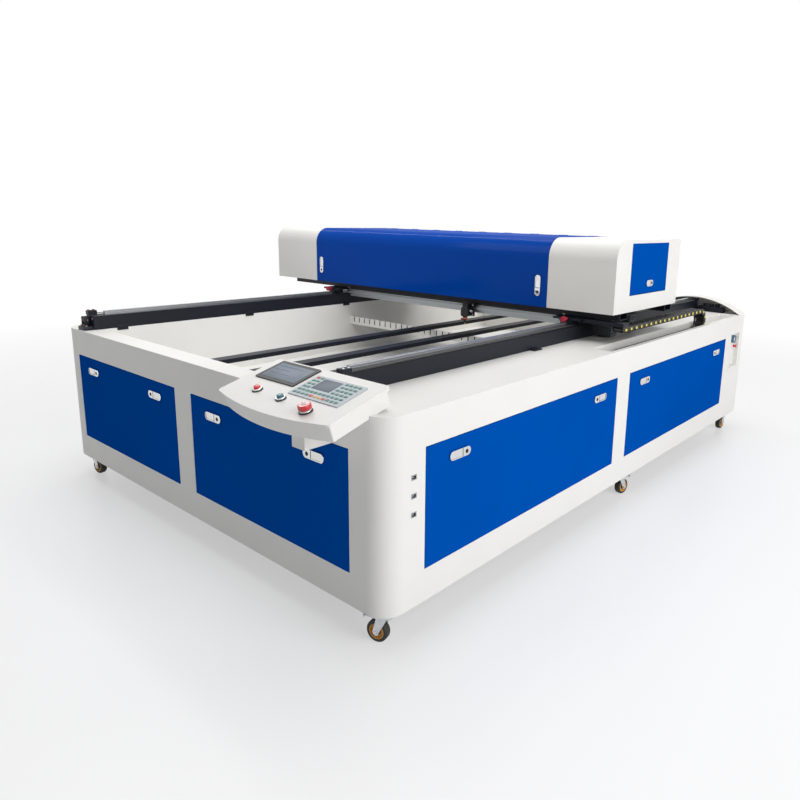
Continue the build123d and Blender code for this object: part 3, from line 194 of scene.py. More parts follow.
@dataclass(frozen=True)
class Palette:
    """Every finish that the machine wears."""

    cream: Finish = Finish("cream_powder_coat", (0.80, 0.79, 0.76), roughness=0.42, mottle=0.015,
                           relief=0.0002)
    blue: Finish = Finish("blue_powder_coat", (0.0, 0.074, 0.395), roughness=0.36, mottle=0.04, relief=0.0002,
                          specular=0.0)
    lid_blue: Finish = Finish("lid_blue_gloss", (0.0, 0.055, 0.36), roughness=0.25, mottle=0.03, coat=0.12,
                              specular=0.0)
    black: Finish = Finish("blue_black_paint", (0.004, 0.0055, 0.012), roughness=0.45, mottle=0.15,
                           specular=0.28)
    rail: Finish = Finish("ground_rail_steel", (0.42, 0.43, 0.45), 1.0, 0.3, grain=Grain.ALONG_Y, mottle=0.03,
                           relief=0.00002)
    inlet: Finish = Finish("slate_inlet_rim", (0.10, 0.17, 0.26), roughness=0.4)
    motor: Finish = Finish("motor_casting", (0.07, 0.075, 0.085), 0.6, 0.42, mottle=0.1)
    dark_metal: Finish = Finish("dark_anodised_metal", (0.035, 0.036, 0.04), 0.7, 0.36, mottle=0.1)
    steel: Finish = Finish("brushed_steel", (0.55, 0.55, 0.56), 1.0, 0.32, grain=Grain.ALONG_X, mottle=0.06)
    profile: Finish = Finish("grey_anodised_profile", (0.42, 0.44, 0.46), 0.7, 0.4, grain=Grain.ALONG_X)
    aluminium: Finish = Finish("turned_aluminium", (0.62, 0.63, 0.65), 1.0, 0.28, mottle=0.05)
    chrome: Finish = Finish("latch_chrome", (0.72, 0.72, 0.72), 1.0, 0.14, mottle=0.03, relief=0.00005)
    zinc: Finish = Finish("blued_zinc", (0.60, 0.61, 0.63), 1.0, 0.30, mottle=0.12, mottle_scale=60.0)
    moulded: Finish = Finish("black_moulded_plastic", (0.012, 0.012, 0.013), roughness=0.5, mottle=0.1)
    # Near-black for the latches' dark joints and keyholes, and painted shade in the comb slots.
    dark_hole: Finish = Finish("dark_opening", (0.004, 0.004, 0.004), roughness=0.8)
    tyre: Finish = Finish("black_tyre", (0.015, 0.014, 0.013), roughness=0.62, mottle=0.2, mottle_scale=70.0)
    hub: Finish = Finish("amber_hub", (0.62, 0.30, 0.05), roughness=0.38, mottle=0.12, mottle_scale=50.0)
    dot: Finish = Finish("yellow_stud", (0.75, 0.62, 0.05), roughness=0.4)
    belt: Finish = Finish("belt_rubber", (0.02, 0.02, 0.02), roughness=0.7)
    bumper: Finish = Finish("red_bumper_rubber", (0.42, 0.012, 0.035), roughness=0.5, mottle=0.1)
    red: Finish = Finish("red_button_plastic", (0.62, 0.012, 0.025), roughness=0.26, coat=0.5)
    teal: Finish = Finish("teal_button_plastic", (0.0, 0.12, 0.16), roughness=0.26, coat=0.5)
    glass: Finish = Finish("tube_glass", (0.75, 0.85, 0.88), roughness=0.08, alpha=0.38, relief=0.00001)
    screen: Finish = Finish("display_glass", (0.085, 0.12, 0.17), roughness=0.38, spread=0.02, mottle=0.3,
                            mottle_scale=9.0, relief=0.00001)
    lcd: Finish = Finish("keypad_screen", (0.05, 0.075, 0.11), roughness=0.4, spread=0.02,
                         relief=0.00001)
    key_panel: Finish = Finish("key_panel_foil", (0.42, 0.46, 0.50), roughness=0.35, mottle=0.02)
    key_teal: Finish = Finish("teal_key", (0.03, 0.20, 0.15), roughness=0.4)
    key_red: Finish = Finish("red_key", (0.55, 0.04, 0.05), roughness=0.4)
    key_amber: Finish = Finish("amber_key", (0.75, 0.42, 0.08), roughness=0.4)
    bore: Finish = Finish("brass_nozzle", (0.62, 0.36, 0.12), 1.0, 0.3)
    socket: Finish = Finish("socket_plastic", (0.02, 0.02, 0.022), roughness=0.45)
    copper: Finish = Finish("browned_pulley_steel", (0.22, 0.14, 0.11), 0.9, 0.4, mottle=0.2,
                            mottle_scale=40.0)


PALETTE = Palette()


class Disc(NamedTuple):
    """The sizes of a round piece, such as a screw's head.

    Attributes:
        radius: Its radius.
        height: How far it stands.
        ease: The width of its eased rim.
        sides: The number of its sides.
    """

    radius: float
    height: float
    ease: float
    sides: int


class Ring(NamedTuple):
    """The sizes of a collar.

    Attributes:
        radius: Its outer radius.
        wall: Its wall.
        height: How far it stands.
        sides: The number of steps round it.
    """

    radius: float
    wall: float
    height: float
    sides: int = 40


class Shop:
    """The few hand tools with which every new piece is modelled."""

    @staticmethod
    def clear() -> None:
        """Leave edit mode and deselect everything."""
        if bpy.context.object is not None and bpy.context.object.mode != "OBJECT":
            bpy.ops.object.mode_set(mode="OBJECT")
        bpy.ops.object.select_all(action="DESELECT")

    @staticmethod
    def block(low: Vector, high: Vector, bevel: float = 0.0, segments: int = 3) -> bpy.types.Object:
        """Model a box between two corners with eased edges.

        Args:
            low: The lowest corner in metres.
            high: The highest corner in metres.
            bevel: The width of the eased edges.
            segments: The bevel's segments.

        Returns:
            The new object, still centred on its own place.
        """
        Shop.clear()
        low, high = Vector(low), Vector(high)
        bpy.ops.mesh.primitive_cube_add(size=1, location=(low + high) / 2)
        made = bpy.context.object
        made.scale = high - low
        bpy.ops.object.transform_apply(location=True, rotation=True, scale=True)
        if bevel > 0:
            Shop.ease(made, bevel, segments)
        return made

    @staticmethod
    def ease(made: bpy.types.Object, width: float, segments: int = 3) -> None:
        """Bevel a piece's sharp edges and apply the modifier.

        Args:
            made: The piece.
            width: The bevel's width.
            segments: The bevel's segments.
        """
        easing = made.modifiers.new("easing", "BEVEL")
        easing.width = width
        easing.segments = segments
        easing.limit_method = "ANGLE"
        easing.angle_limit = math.radians(40)
        bpy.context.view_layer.objects.active = made
        bpy.ops.object.modifier_apply(modifier="easing")

    @staticmethod
    def disc(centre: Vector, axis: Vector, radius: float, depth: float, bevel: float = 0.0,
             sides: int = 32) -> bpy.types.Object:
        """Model a round disc or pin whose foot is at centre and which stands along axis.

        Args:
            centre: The middle of the foot.
            axis: The direction in which it stands.
            radius: Its radius.
            depth: Its height.
            bevel: The width of the eased rims.
            sides: The number of sides.

        Returns:
            The new object.
        """
        Shop.clear()
        way = Vector(axis).normalized()
        bpy.ops.mesh.primitive_cylinder_add(vertices=sides, radius=radius, depth=depth)
        made = bpy.context.object
        if bevel > 0:
            Shop.ease(made, bevel)
        turn = Z_AXIS.rotation_difference(way).to_matrix().to_4x4()
        made.data.transform(Matrix.Translation(Vector(centre) + way * depth / 2) @ turn)
        return made

    @staticmethod
    def ring(centre: Vector, axis: Vector, radius: float, thickness: float, height: float,
             sides: int = 40) -> bpy.types.Object:
        """Model a collar: a tube with a rounded top rim, spun from its section.

        Args:
            centre: The middle of the foot.
            axis: The direction in which it stands.
            radius: Its outer radius.
            thickness: Its wall.
            height: Its height.
            sides: The number of steps round it.

        Returns:
            The new object.
        """
        Shop.clear()
        bpy.ops.mesh.primitive_circle_add(vertices=sides, radius=radius - thickness / 2, fill_type="NOTHING")
        bpy.ops.object.mode_set(mode="EDIT")
        bpy.ops.mesh.select_mode(type="VERT")
        bpy.ops.mesh.select_all(action="SELECT")
        bpy.ops.mesh.extrude_region_move(TRANSFORM_OT_translate={"value": (0, 0, height)})
        bpy.ops.object.mode_set(mode="OBJECT")
        made = bpy.context.object
        wall = made.modifiers.new("wall", "SOLIDIFY")
        wall.thickness = thickness
        wall.offset = 0
        bpy.ops.object.modifier_apply(modifier="wall")
        Shop.ease(made, thickness * 0.3)
        turn = Z_AXIS.rotation_difference(Vector(axis).normalized()).to_matrix().to_4x4()
        made.data.transform(Matrix.Translation(Vector(centre)) @ turn)
        return made

    @staticmethod
    def stadium(length: float, height: float, depth: float, bevel: float) -> bpy.types.Object:
        """Model a flat plate with round ends, lying along X with its foot on the X-Y plane.

        Args:
            length: End to end.
            height: Across.
            depth: Its thickness along Z.
            bevel: The width of the eased rims.

        Returns:
            The new object.
        """
        Shop.clear()
        half = (length - height) / 2
        bpy.ops.mesh.primitive_cylinder_add(vertices=32, radius=height / 2, depth=depth,
                                            location=(0, 0, depth / 2))
        made = bpy.context.object
        bpy.ops.object.transform_apply(location=True, rotation=True, scale=True)
        for vertex in made.data.vertices:
            vertex.co.x += half if vertex.co.x > 0 else -half
        if bevel > 0:
            Shop.ease(made, bevel, 2)
        return made

    @staticmethod
    def copy(source: bpy.types.Object, place: Matrix, name: str) -> bpy.types.Object:
        """Copy a piece with a mesh of its own and put it in its place.

        Args:
            source: The piece to copy.
            place: Where the copy goes.
            name: The copy's name.

        Returns:
            The copy.
        """
        made = source.copy()
        made.data = source.data.copy()
        made.name = name
        made.data.transform(place)
        bpy.context.collection.objects.link(made)
        return made

    @staticmethod
    def join(pieces: list[bpy.types.Object], name: str) -> bpy.types.Object:
        """Join pieces into one.

        Args:
            pieces: What to join.
            name: The joined piece's name.

        Returns:
            The joined piece.
        """
        Shop.clear()
        for piece in pieces:
            piece.select_set(True)
        bpy.context.view_layer.objects.active = pieces[0]
        bpy.ops.object.join()
        made = bpy.context.object
        made.name = name
        return made

    @staticmethod
    def drop(*pieces: bpy.types.Object) -> None:
        """Delete the pieces that were only models to copy."""
        for piece in pieces:
            bpy.data.objects.remove(piece, do_unlink=True)

    @staticmethod
    def dress(made: bpy.types.Object, name: str, finish: Finish, body: str, slot: str) -> bpy.types.Object:
        """Name a finished piece, give it its finish and let it ride on its body.

        Args:
            made: The piece.
            name: Its name.
            finish: Its finish.
            body: The body that carries it.
            slot: The record's slot for its material; not used.

        Returns:
            The piece.
        """
        made.name = name
        made.data.materials.clear()
        made.data.materials.append(finish.material())
        Shop.clear()
        made.select_set(True)
        bpy.context.view_layer.objects.active = made
        bpy.ops.object.shade_smooth_by_angle(angle=math.radians(35))
        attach(made, body)
        LOG.info("%s on %s", name, body)
        return made


@dataclass
class Coats:
    """The finishes of the machine's solid parts, by node.

    Attributes:
        nodes: The solid parts' objects by name.
    """

    nodes: dict[str, bpy.types.Object]

    def wear(self) -> None:
        """Give every solid part its finish."""
        for finish, names in self.plan().items():
            for name in names:
                made = self.nodes[name]
                for place in made.material_slots:
                    place.material = finish.material()
        LOG.info("%d solid parts have their finish", len(self.nodes))

    def plan(self) -> dict[Finish, list[str]]:
        """List the nodes under each finish.

        Returns:
            The nodes' names by finish.
        """
        panels = [name for name in self.nodes if name.endswith("_panel")]
        forks = [name for name in self.nodes if name.endswith("_fork")]
        wheels = [name for name in self.nodes if name.endswith("_wheel")]
        return {
            PALETTE.cream: ["cabinet", "top_deck", "bed_well", "console_box", "console_plate", "console_arm",
                            "rear_hood", "left_end_cap", "right_end_cap", "rear_cover", "left_end_door",
                            "chain_trough", "comb_strips"],
            PALETTE.blue: panels + ["right_end_door"],
            PALETTE.lid_blue: ["front_lid"],
            PALETTE.black: ["chassis", "rail_beams", "gantry_beam", "bed_bars", "rail_end_blocks",
                            "gantry_carriages"],
            PALETTE.rail: ["linear_rails"],
            PALETTE.steel: ["exhaust_collar"],
            PALETTE.motor: ["y_motors"],
            PALETTE.profile: ["x_guide"],
            PALETTE.aluminium: ["tube_mounts"],
            PALETTE.dark_metal: ["head_carriage", "focus_tube"],
            PALETTE.zinc: ["caster_plates", *forks],
            PALETTE.moulded: ["chain_upper_run", "chain_lower_run", "chain_bend", "touch_display"],
            PALETTE.socket: ["port_sockets"],
            PALETTE.belt: ["y_belts", "x_belt"],
            PALETTE.bumper: ["bumpers"],
            PALETTE.tyre: wheels,
            PALETTE.glass: ["laser_tube"],
            PALETTE.key_panel: ["keypad"],
            PALETTE.red: ["red_button", "estop_button"],
            PALETTE.teal: ["green_button"],
        }


@dataclass
class Studio:
    """The plain floor, the soft lamps and the camera.

    Attributes:
        floor_size: The floor's side in metres.
        eye: The camera's place.
        azimuth: The compass angle from which the camera looks, in degrees.
        elevation: The angle below the horizon at which it looks, in degrees.
        roll: The camera's lean to the right, in degrees.
        focal: The focal length in picture widths.
        shift: How far the picture is moved across and up, in picture widths.
        strip_length: The length of the strip lamp.
    """

    floor_size: float = 60.0
    eye: Vector = field(default_factory=lambda: Vector((2.6196, -2.78795, 1.3177)))
    azimuth: float = 39.554
    elevation: float = 11.991
    roll: float = 1.344
    focal: float = 665.62 / 800
    shift: tuple[float, float] = (-0.0730, -0.0506)
    strip_length: float = 5.0

    def build(self) -> None:
        """Make the floor, the light and the camera."""
        bpy.context.scene.view_settings.view_transform = "Standard"
        self.floor()
        self.world()
        self.lamps()
        self.camera()

    def floor(self) -> None:
        """Lay a wide pale floor."""
        Shop.clear()
        bpy.ops.mesh.primitive_plane_add(size=self.floor_size, location=(0, 0, 0))
        made = bpy.context.object
        made.name = "studio_floor"
        sheet = bpy.data.materials.new("studio_floor")
        sheet.use_nodes = True
        nodes = sheet.node_tree.nodes
        links = sheet.node_tree.links
        shader = nodes["Principled BSDF"]
        shader.inputs["Base Color"].default_value = (0.90, 0.90, 0.91, 1)
        shader.inputs["Roughness"].default_value = 0.34
        white = nodes.new("ShaderNodeEmission")
        white.inputs["Color"].default_value = (1, 1, 1, 1)
        white.inputs["Strength"].default_value = 1.0
        place = nodes.new("ShaderNodeTexCoord")
        reach = nodes.new("ShaderNodeVectorMath")
        reach.operation = "LENGTH"
        links.new(place.outputs["Object"], reach.inputs[0])
        fade = nodes.new("ShaderNodeMapRange")
        for key, value in {"From Min": 1.9, "From Max": 6.0, "To Min": 0.5, "To Max": 1.0}.items():
            fade.inputs[key].default_value = value
        links.new(reach.outputs["Value"], fade.inputs["Value"])
        share = nodes.new("ShaderNodeMath")
        share.operation = "MULTIPLY"
        links.new(self.looked_at(sheet.node_tree), share.inputs[0])
        links.new(fade.outputs["Result"], share.inputs[1])
        mixed = nodes.new("ShaderNodeMixShader")
        links.new(share.outputs[0], mixed.inputs[0])
        links.new(shader.outputs[0], mixed.inputs[1])
        links.new(white.outputs[0], mixed.inputs[2])
        links.new(mixed.outputs[0], nodes["Material Output"].inputs["Surface"])
        made.data.materials.append(sheet)

    @staticmethod
    def looked_at(tree: bpy.types.NodeTree) -> bpy.types.NodeSocket:
        """Tell what the eye, a mirror or a glass looks at from what only lights the part.

        Args:
            tree: The node tree that needs to know.

        Returns:
            A socket that is 1 on the rays that look.
        """
        path = tree.nodes.new("ShaderNodeLightPath")
        found = path.outputs["Is Camera Ray"]
        for ray in ("Is Glossy Ray", "Is Transmission Ray"):
            either = tree.nodes.new("ShaderNodeMath")
            either.operation = "MAXIMUM"
            tree.links.new(found, either.inputs[0])
            tree.links.new(path.outputs[ray], either.inputs[1])
            found = either.outputs[0]
        return found

    def world(self) -> None:
        """Fill the room with soft light that the camera and bright metal see as white."""
        room = bpy.data.worlds.new("studio_room")
        bpy.context.scene.world = room
        room.use_nodes = True
        nodes = room.node_tree.nodes
        links = room.node_tree.links
        fill = nodes["Background"]
        fill.inputs["Color"].default_value = (0.95, 0.97, 1.0, 1)
        fill.inputs["Strength"].default_value = 0.17
        seen = nodes.new("ShaderNodeBackground")
        seen.inputs["Color"].default_value = (1, 1, 1, 1)
        seen.inputs["Strength"].default_value = 1.0
        mixed = nodes.new("ShaderNodeMixShader")
        links.new(self.looked_at(room.node_tree), mixed.inputs[0])
        links.new(fill.outputs[0], mixed.inputs[1])
        links.new(seen.outputs[0], mixed.inputs[2])
        links.new(mixed.outputs[0], nodes["World Output"].inputs["Surface"])

    def lamps(self) -> None:
        """Hang the soft boxes and the long strip that draws the light along the lid's curve."""
        plan = {
            "right_softbox": ((6.5, -0.6, 3.2), (0.0, 0.0, 0.6), 5.0, 290.0),
            "front_softbox": ((-2.0, -6.5, 3.0), (0.0, 0.0, 0.5), 4.0, 5.0),
            "lid_strip": ((-3.9, 1.23, 5.0), (-3.9, 1.23, 0.0), 0.5, 60.0),
            "top_softbox": ((0.3, 0.4, 6.0), (0.0, 0.2, 0.0), 4.5, 150.0),
            "bed_softbox": ((-0.5, -1.35, 2.5), (-0.4, 0.7, 0.6), 1.6, 16.0),
            "rear_softbox": ((0.1, 0.98, 2.3), (0.1, 1.56, 0.45), 1.2, 9.0),
        }
        for name, (place, target, size, power) in plan.items():
            lamp = bpy.data.lights.new(name, "AREA")
            lamp.size = size
            if name == "lid_strip":
                lamp.shape = "RECTANGLE"
                lamp.size, lamp.size_y = self.strip_length, size
            lamp.energy = power
            hung = bpy.data.objects.new(name, lamp)
            hung.location = place
            hung.rotation_euler = (Vector(target) - Vector(place)).to_track_quat("-Z", "Y").to_euler()
            bpy.context.scene.collection.objects.link(hung)

    def camera(self) -> None:
        """Set up the camera at the photograph's angle."""
        turn, dip, lean = (math.radians(angle) for angle in (self.azimuth, self.elevation, self.roll))
        ahead = Vector((-math.sin(turn) * math.cos(dip), math.cos(turn) * math.cos(dip), -math.sin(dip)))
        level = Vector((math.cos(turn), math.sin(turn), 0))
        upright = level.cross(ahead)
        right = level * math.cos(lean) + upright * math.sin(lean)
        above = upright * math.cos(lean) - level * math.sin(lean)
        lens = bpy.data.cameras.new("photo_camera")
        lens.sensor_width = 36
        lens.lens = 36 * self.focal
        lens.shift_x, lens.shift_y = self.shift
        lens.clip_end = 200
        made = bpy.data.objects.new("photo_camera", lens)
        made.matrix_world = Matrix((
            (right.x, above.x, -ahead.x, self.eye.x),
            (right.y, above.y, -ahead.y, self.eye.y),
            (right.z, above.z, -ahead.z, self.eye.z),
            (0, 0, 0, 1)))
        bpy.context.scene.collection.objects.link(made)
        bpy.context.scene.camera = made


@dataclass
class Latches:
    """Chrome latch plates, each in two halves with a keyhole towards its panel's middle.

    Attributes:
        length: End to end of a panel's latch.
        door_length: End to end of the end door's latch.
        height: Across.
        depth: How far the chrome stands off the moulded latch behind it.
        gap: The width of the joint between the halves.
        panel_inset: From a panel's edge to its latch.
        panel_drop: From a window's head to the latch.
        bolt: The keyhole's turning bolt.
    """

    length: float = 0.104
    door_length: float = 0.072
    height: float = 0.032
    depth: float = 0.003
    gap: float = 0.002
    panel_inset: float = 0.160
    panel_drop: float = 0.060
    bolt: Disc = Disc(0.0072, 0.0011, 0.0004, 24)

    def build(self) -> None:
        """Put a latch wherever a panel, the lid or an end door has one."""
        for name, way in self.faces().items():
            low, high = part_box(name)
            along = Z_AXIS.cross(way)
            middle = (low + high) / 2
            half = abs((high - low).dot(along)) / 2
            for side in (-1, 1):
                place = middle + along * side * (half - self.panel_inset)
                place.z = high.z - self.panel_drop
                place += way * (self.outer(low, high, way) - place.dot(way))
                flip = along * -side
                self.latch(f"{name}_latch_{'a' if side < 0 else 'b'}", place, flip, way, self.length,
                           f"{name}_body")
        low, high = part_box("front_lid")
        for side, x in (("left", low.x + 0.053), ("right", high.x - 0.053)):
            place = Vector((x, low.y, low.z + 0.105))
            self.latch(f"lid_latch_{side}", place, -Z_AXIS, -Y_AXIS, self.length, "lid")
        for name, way in (("left_end_door", -X_AXIS), ("right_end_door", X_AXIS)):
            low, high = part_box(name)
            place = Vector((self.outer(low, high, way) * way.x, (low.y + high.y) / 2, low.z + 0.048))
            self.latch(f"{name}_latch", place, Y_AXIS, way, self.door_length,
                       name.replace("end_door", "door"))

    @staticmethod
    def faces() -> dict[str, Vector]:
        """Return the outward direction of each service panel."""
        found = {}
        for end in ("left", "right"):
            found[f"front_{end}_panel"] = -Y_AXIS
            for part in ("front", "rear"):
                found[f"{end}_{part}_panel"] = -X_AXIS if end == "left" else X_AXIS
        return found

    @staticmethod
    def outer(low: Vector, high: Vector, way: Vector) -> float:
        """Return how far a box reaches along an outward direction."""
        return max(low.dot(way), high.dot(way))

    def latch(self, name: str, place: Vector, along: Vector, way: Vector, length: float, body: str) -> None:
        """Model one latch: two chrome halves, the dark joint under them and the keyhole.

        Args:
            name: The latch's name.
            place: The middle of the latch's face.
            along: The direction towards the panel's middle, in which the lock half lies.
            way: The outward direction.
            length: End to end.
            body: The body that carries it.
        """
        across = way.cross(along)
        turn = Matrix((along, across, way)).transposed().to_4x4()
        turn.translation = place
        plate = Shop.stadium(length, self.height, self.depth, 0.0012)
        cut = self.split(plate)
        plate.data.transform(turn)
        Shop.dress(plate, name, PALETTE.chrome, body, "machine_steel")
        seam = Shop.stadium(length - 0.004, self.height - 0.004, 0.0016, 0)
        bolt = Shop.disc(Vector((cut + (length / 2 - cut) / 2, 0, self.depth - 0.0004)), Z_AXIS, *self.bolt)
        slot = Shop.block((cut - 0.0005, -self.height / 2 + 0.002, 0),
                          (cut + self.gap, self.height / 2 - 0.002, self.depth + 0.0001))
        dark = Shop.join([seam, bolt, slot], f"{name}_keyhole")
        dark.data.transform(turn)
        Shop.dress(dark, f"{name}_keyhole", PALETTE.dark_hole, body, "black_plastic")

    def split(self, plate: bpy.types.Object) -> float:
        """Dish the paddle half of a latch, and return where its joint lies.

        Args:
            plate: The stadium, lying along X.

        Returns:
            The joint's place along the latch.
        """
        reach = max(vertex.co.x for vertex in plate.data.vertices)
        Shop.clear()
        bpy.context.view_layer.objects.active = plate
        bpy.ops.object.mode_set(mode="EDIT")
        bpy.ops.mesh.select_mode(type="FACE")
        bpy.ops.mesh.select_all(action="SELECT")
        bpy.ops.mesh.bisect(plane_co=(reach * 0.2, 0, 0), plane_no=(1, 0, 0))
        bpy.ops.mesh.select_all(action="DESELECT")
        bpy.ops.object.mode_set(mode="OBJECT")
        for face in plate.data.polygons:
            face.select = face.normal.z > 0.9 and face.center.x < reach * 0.2
        bpy.ops.object.mode_set(mode="EDIT")
        bpy.ops.mesh.inset(thickness=0.004, depth=-0.0012)
        bpy.ops.object.mode_set(mode="OBJECT")
        return reach * 0.2


@dataclass
class Console:
    """The control console's screens, keys and button trims, laid out on its sloping plate.

    Attributes:
        tilt: The plate's slope in degrees.
        rear_edge: The Y and Z of the plate's upper rear edge.
        display_at: The display's centre on the plate, from the middle of its rear edge.
        display: The display's width, length and thickness.
        rim: The dark frame round the display's glass.
        keypad_at: The key panel's centre.
        keypad: The key panel's width, length and thickness.
        lcd_at: The small screen's centre on the key panel.
        lcd: The small screen's width and length.
        buttons: Each push button's centre.
        stop_at: The stop button's centre.
        key: One key's width, length and rise.
        pitch: From key to key.
        columns: The number of the key panel's columns.
        rows: The number of its rows.
        key_margin: From the panel's edge to the first key's middle.
        key_gap: How far the keys' middles stay off the small screen and the panel's edge.
        mark_shares: The lengths of the display's marks, as shares of its width.
        button_base: The black base of a push button.
        button_lip: The lip round that base.
        button_trim: The chrome ring of a push button.
        button_crown: The raised middle of a push button.
        stop_base: The black base of the stop button.
        stop_neck: The chrome neck under the stop button.
        stop_mark: The pale mark on its crown.
        stop_skirt: The rim under its crown.
    """

    tilt: float = 15.6
    rear_edge: tuple[float, float] = (-1.45715, 0.832)
    display_at: tuple[float, float] = (-0.131, -0.070)
    display: tuple[float, float, float] = (0.200, 0.118, 0.004)
    rim: float = 0.014
    keypad_at: tuple[float, float] = (0.103, -0.102)
    keypad: tuple[float, float, float] = (0.228, 0.124, 0.003)
    lcd_at: tuple[float, float] = (-0.024, 0.020)
    lcd: tuple[float, float] = (0.084, 0.062)
    buttons: tuple[tuple[str, str, tuple[float, float]], ...] = (
        ("red_button", "red_push", (-0.131, -0.190)), ("green_button", "green_push", (0.0, -0.198)))
    stop_at: tuple[float, float] = (0.144, -0.218)
    key: tuple[float, float, float] = (0.0128, 0.0092, 0.0016)
    pitch: float = 0.019
    columns: int = 11
    rows: int = 6
    key_margin: float = 0.016
    key_gap: float = 0.012
    mark_shares: tuple[float, ...] = (0.34, 0.22, 0.30)
    button_base: Disc = Disc(0.0175, 0.0022, 0.0008, 40)
    button_lip: Ring = Ring(0.0175, 0.002, 0.003)
    button_trim: Ring = Ring(0.0152, 0.0036, 0.0062)
    button_crown: Disc = Disc(0.0094, 0.0014, 0.0007, 32)
    stop_base: Disc = Disc(0.0215, 0.003, 0.001, 40)
    stop_neck: Ring = Ring(0.0172, 0.004, 0.0024)
    stop_mark: Disc = Disc(0.0075, 0.0009, 0.0004, 32)
    stop_skirt: Ring = Ring(0.0206, 0.0022, 0.003)

    def plane(self) -> Matrix:
        """Return the plate's plane, with its origin in the middle of the rear edge."""
        lean = math.radians(self.tilt)
        low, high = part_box("console_plate")
        up = Vector((0, -math.sin(lean), math.cos(lean)))
        back = Vector((0, math.cos(lean), math.sin(lean)))
        made = Matrix((X_AXIS, back, up)).transposed().to_4x4()
        made.translation = Vector(((low.x + high.x) / 2, self.rear_edge[0], self.rear_edge[1]))
        return made

    def build(self) -> None:
        """Model the console's fittings."""
        plane = self.plane()
        self.screen(plane)
        self.key_panel(plane)
        self.push_buttons(plane)
        self.stop_button(plane)

    def put(self, piece: bpy.types.Object, plane: Matrix, at: tuple[float, float], rise: float = 0.0) -> None:
        """Move a piece from the X-Y plane onto the plate.

        Args:
            piece: The piece.
            plane: The plate's plane.
            at: Its place on the plate.
            rise: Its height over the plate.
        """
        piece.data.transform(plane @ Matrix.Translation((*at, rise)))

    def screen(self, plane: Matrix) -> None:
        """Model the display's glass and its lit picture field."""
        width, length, depth = self.display
        half = Vector((width / 2 - self.rim, length / 2 - self.rim, 0))
        glass = Shop.block(-half + Vector((0, 0, depth - 0.001)), half + Vector((0, 0, depth + 0.0004)),
                           0.0004, 2)
        self.put(glass, plane, self.display_at)
        Shop.dress(glass, "display_glass", PALETTE.screen, "base", "glass")
        bars = []
        for index, part in enumerate(self.mark_shares):
            low = Vector((-half.x * 0.86, half.y * (0.62 - 0.5 * index), depth + 0.0004))
            bars.append(Shop.block(low, low + Vector((half.x * 2 * part * 2, 0.0028, 0.0003))))
        marks = Shop.join(bars, "display_marks")
        self.put(marks, plane, self.display_at)
        Shop.dress(marks, "display_marks", PALETTE.lcd, "base", "glass")

    def key_panel(self, plane: Matrix) -> None:
        """Model the small screen and the coloured keys over the key panel."""
        width, length, depth = self.keypad
        centre = (self.keypad_at[0] + self.lcd_at[0], self.keypad_at[1] + self.lcd_at[1])
        half = Vector((self.lcd[0] / 2, self.lcd[1] / 2, 0))
        glass = Shop.block(-half + Vector((0, 0, depth - 0.001)), half + Vector((0, 0, depth + 0.0005)),
                           0.0004, 2)
        self.put(glass, plane, centre)
        Shop.dress(glass, "keypad_screen", PALETTE.lcd, "base", "glass")
        grouped: dict[Finish, list[bpy.types.Object]] = {}
        model = Shop.block((-self.key[0] / 2, -self.key[1] / 2, 0),
                           (self.key[0] / 2, self.key[1] / 2, self.key[2]), 0.0008, 2)
        for column in range(self.columns):
            for row in range(self.rows):
                x = -width / 2 + self.key_margin + column * self.pitch
                y = -length / 2 + self.key_margin + row * self.pitch
                over = abs(x - self.lcd_at[0]) < self.lcd[0] / 2 + self.key_gap
                above = y > self.lcd_at[1] - self.lcd[1] / 2 - self.key_gap
                if (over and above) or x > width / 2 - self.key_gap:
                    continue
                place = Matrix.Translation((self.keypad_at[0] + x, self.keypad_at[1] + y, depth))
                key = Shop.copy(model, plane @ place, "key")
                grouped.setdefault(self.key_finish(column, row), []).append(key)
        Shop.drop(model)
        for finish, keys in grouped.items():
            made = Shop.join(keys, finish.name)
            Shop.dress(made, f"keys_{finish.name}", finish, "base", "grey_plastic")

    @staticmethod
    def key_finish(column: int, row: int) -> Finish:
        """Return a key's colour: mostly teal, one red in a corner, and warm ones along the foot."""
        if (column, row) == (0, 5) or (row == 0 and column in (4, 7)):
            return PALETTE.key_red
        if row == 0 and column in (5, 6):
            return PALETTE.key_amber
        return PALETTE.key_teal

    def push_buttons(self, plane: Matrix) -> None:
        """Model the chrome rings and black bases of the two push buttons."""
        for name, body, at in self.buttons:
            base = Shop.disc(Vector((0, 0, 0)), Z_AXIS, *self.button_base)
            hole = Shop.ring(Vector((0, 0, 0.0)), Z_AXIS, *self.button_lip)
            trim = Shop.join([base, hole], f"{name}_base")
            self.put(trim, plane, at)
            Shop.dress(trim, f"{name}_base", PALETTE.moulded, "base", "black_plastic")
            ring = Shop.ring(Vector((0, 0, 0.002)), Z_AXIS, *self.button_trim)
            self.put(ring, plane, at)
            Shop.dress(ring, f"{name}_ring", PALETTE.chrome, "base", "machine_steel")
            crown = Shop.disc(Vector((0, 0, 0.0138)), Z_AXIS, *self.button_crown)
            self.put(crown, plane, at)
            Shop.dress(crown, f"{name}_crown", PALETTE.red if name.startswith("red") else PALETTE.teal, body,
                       "red_plastic" if name.startswith("red") else "green_plastic")

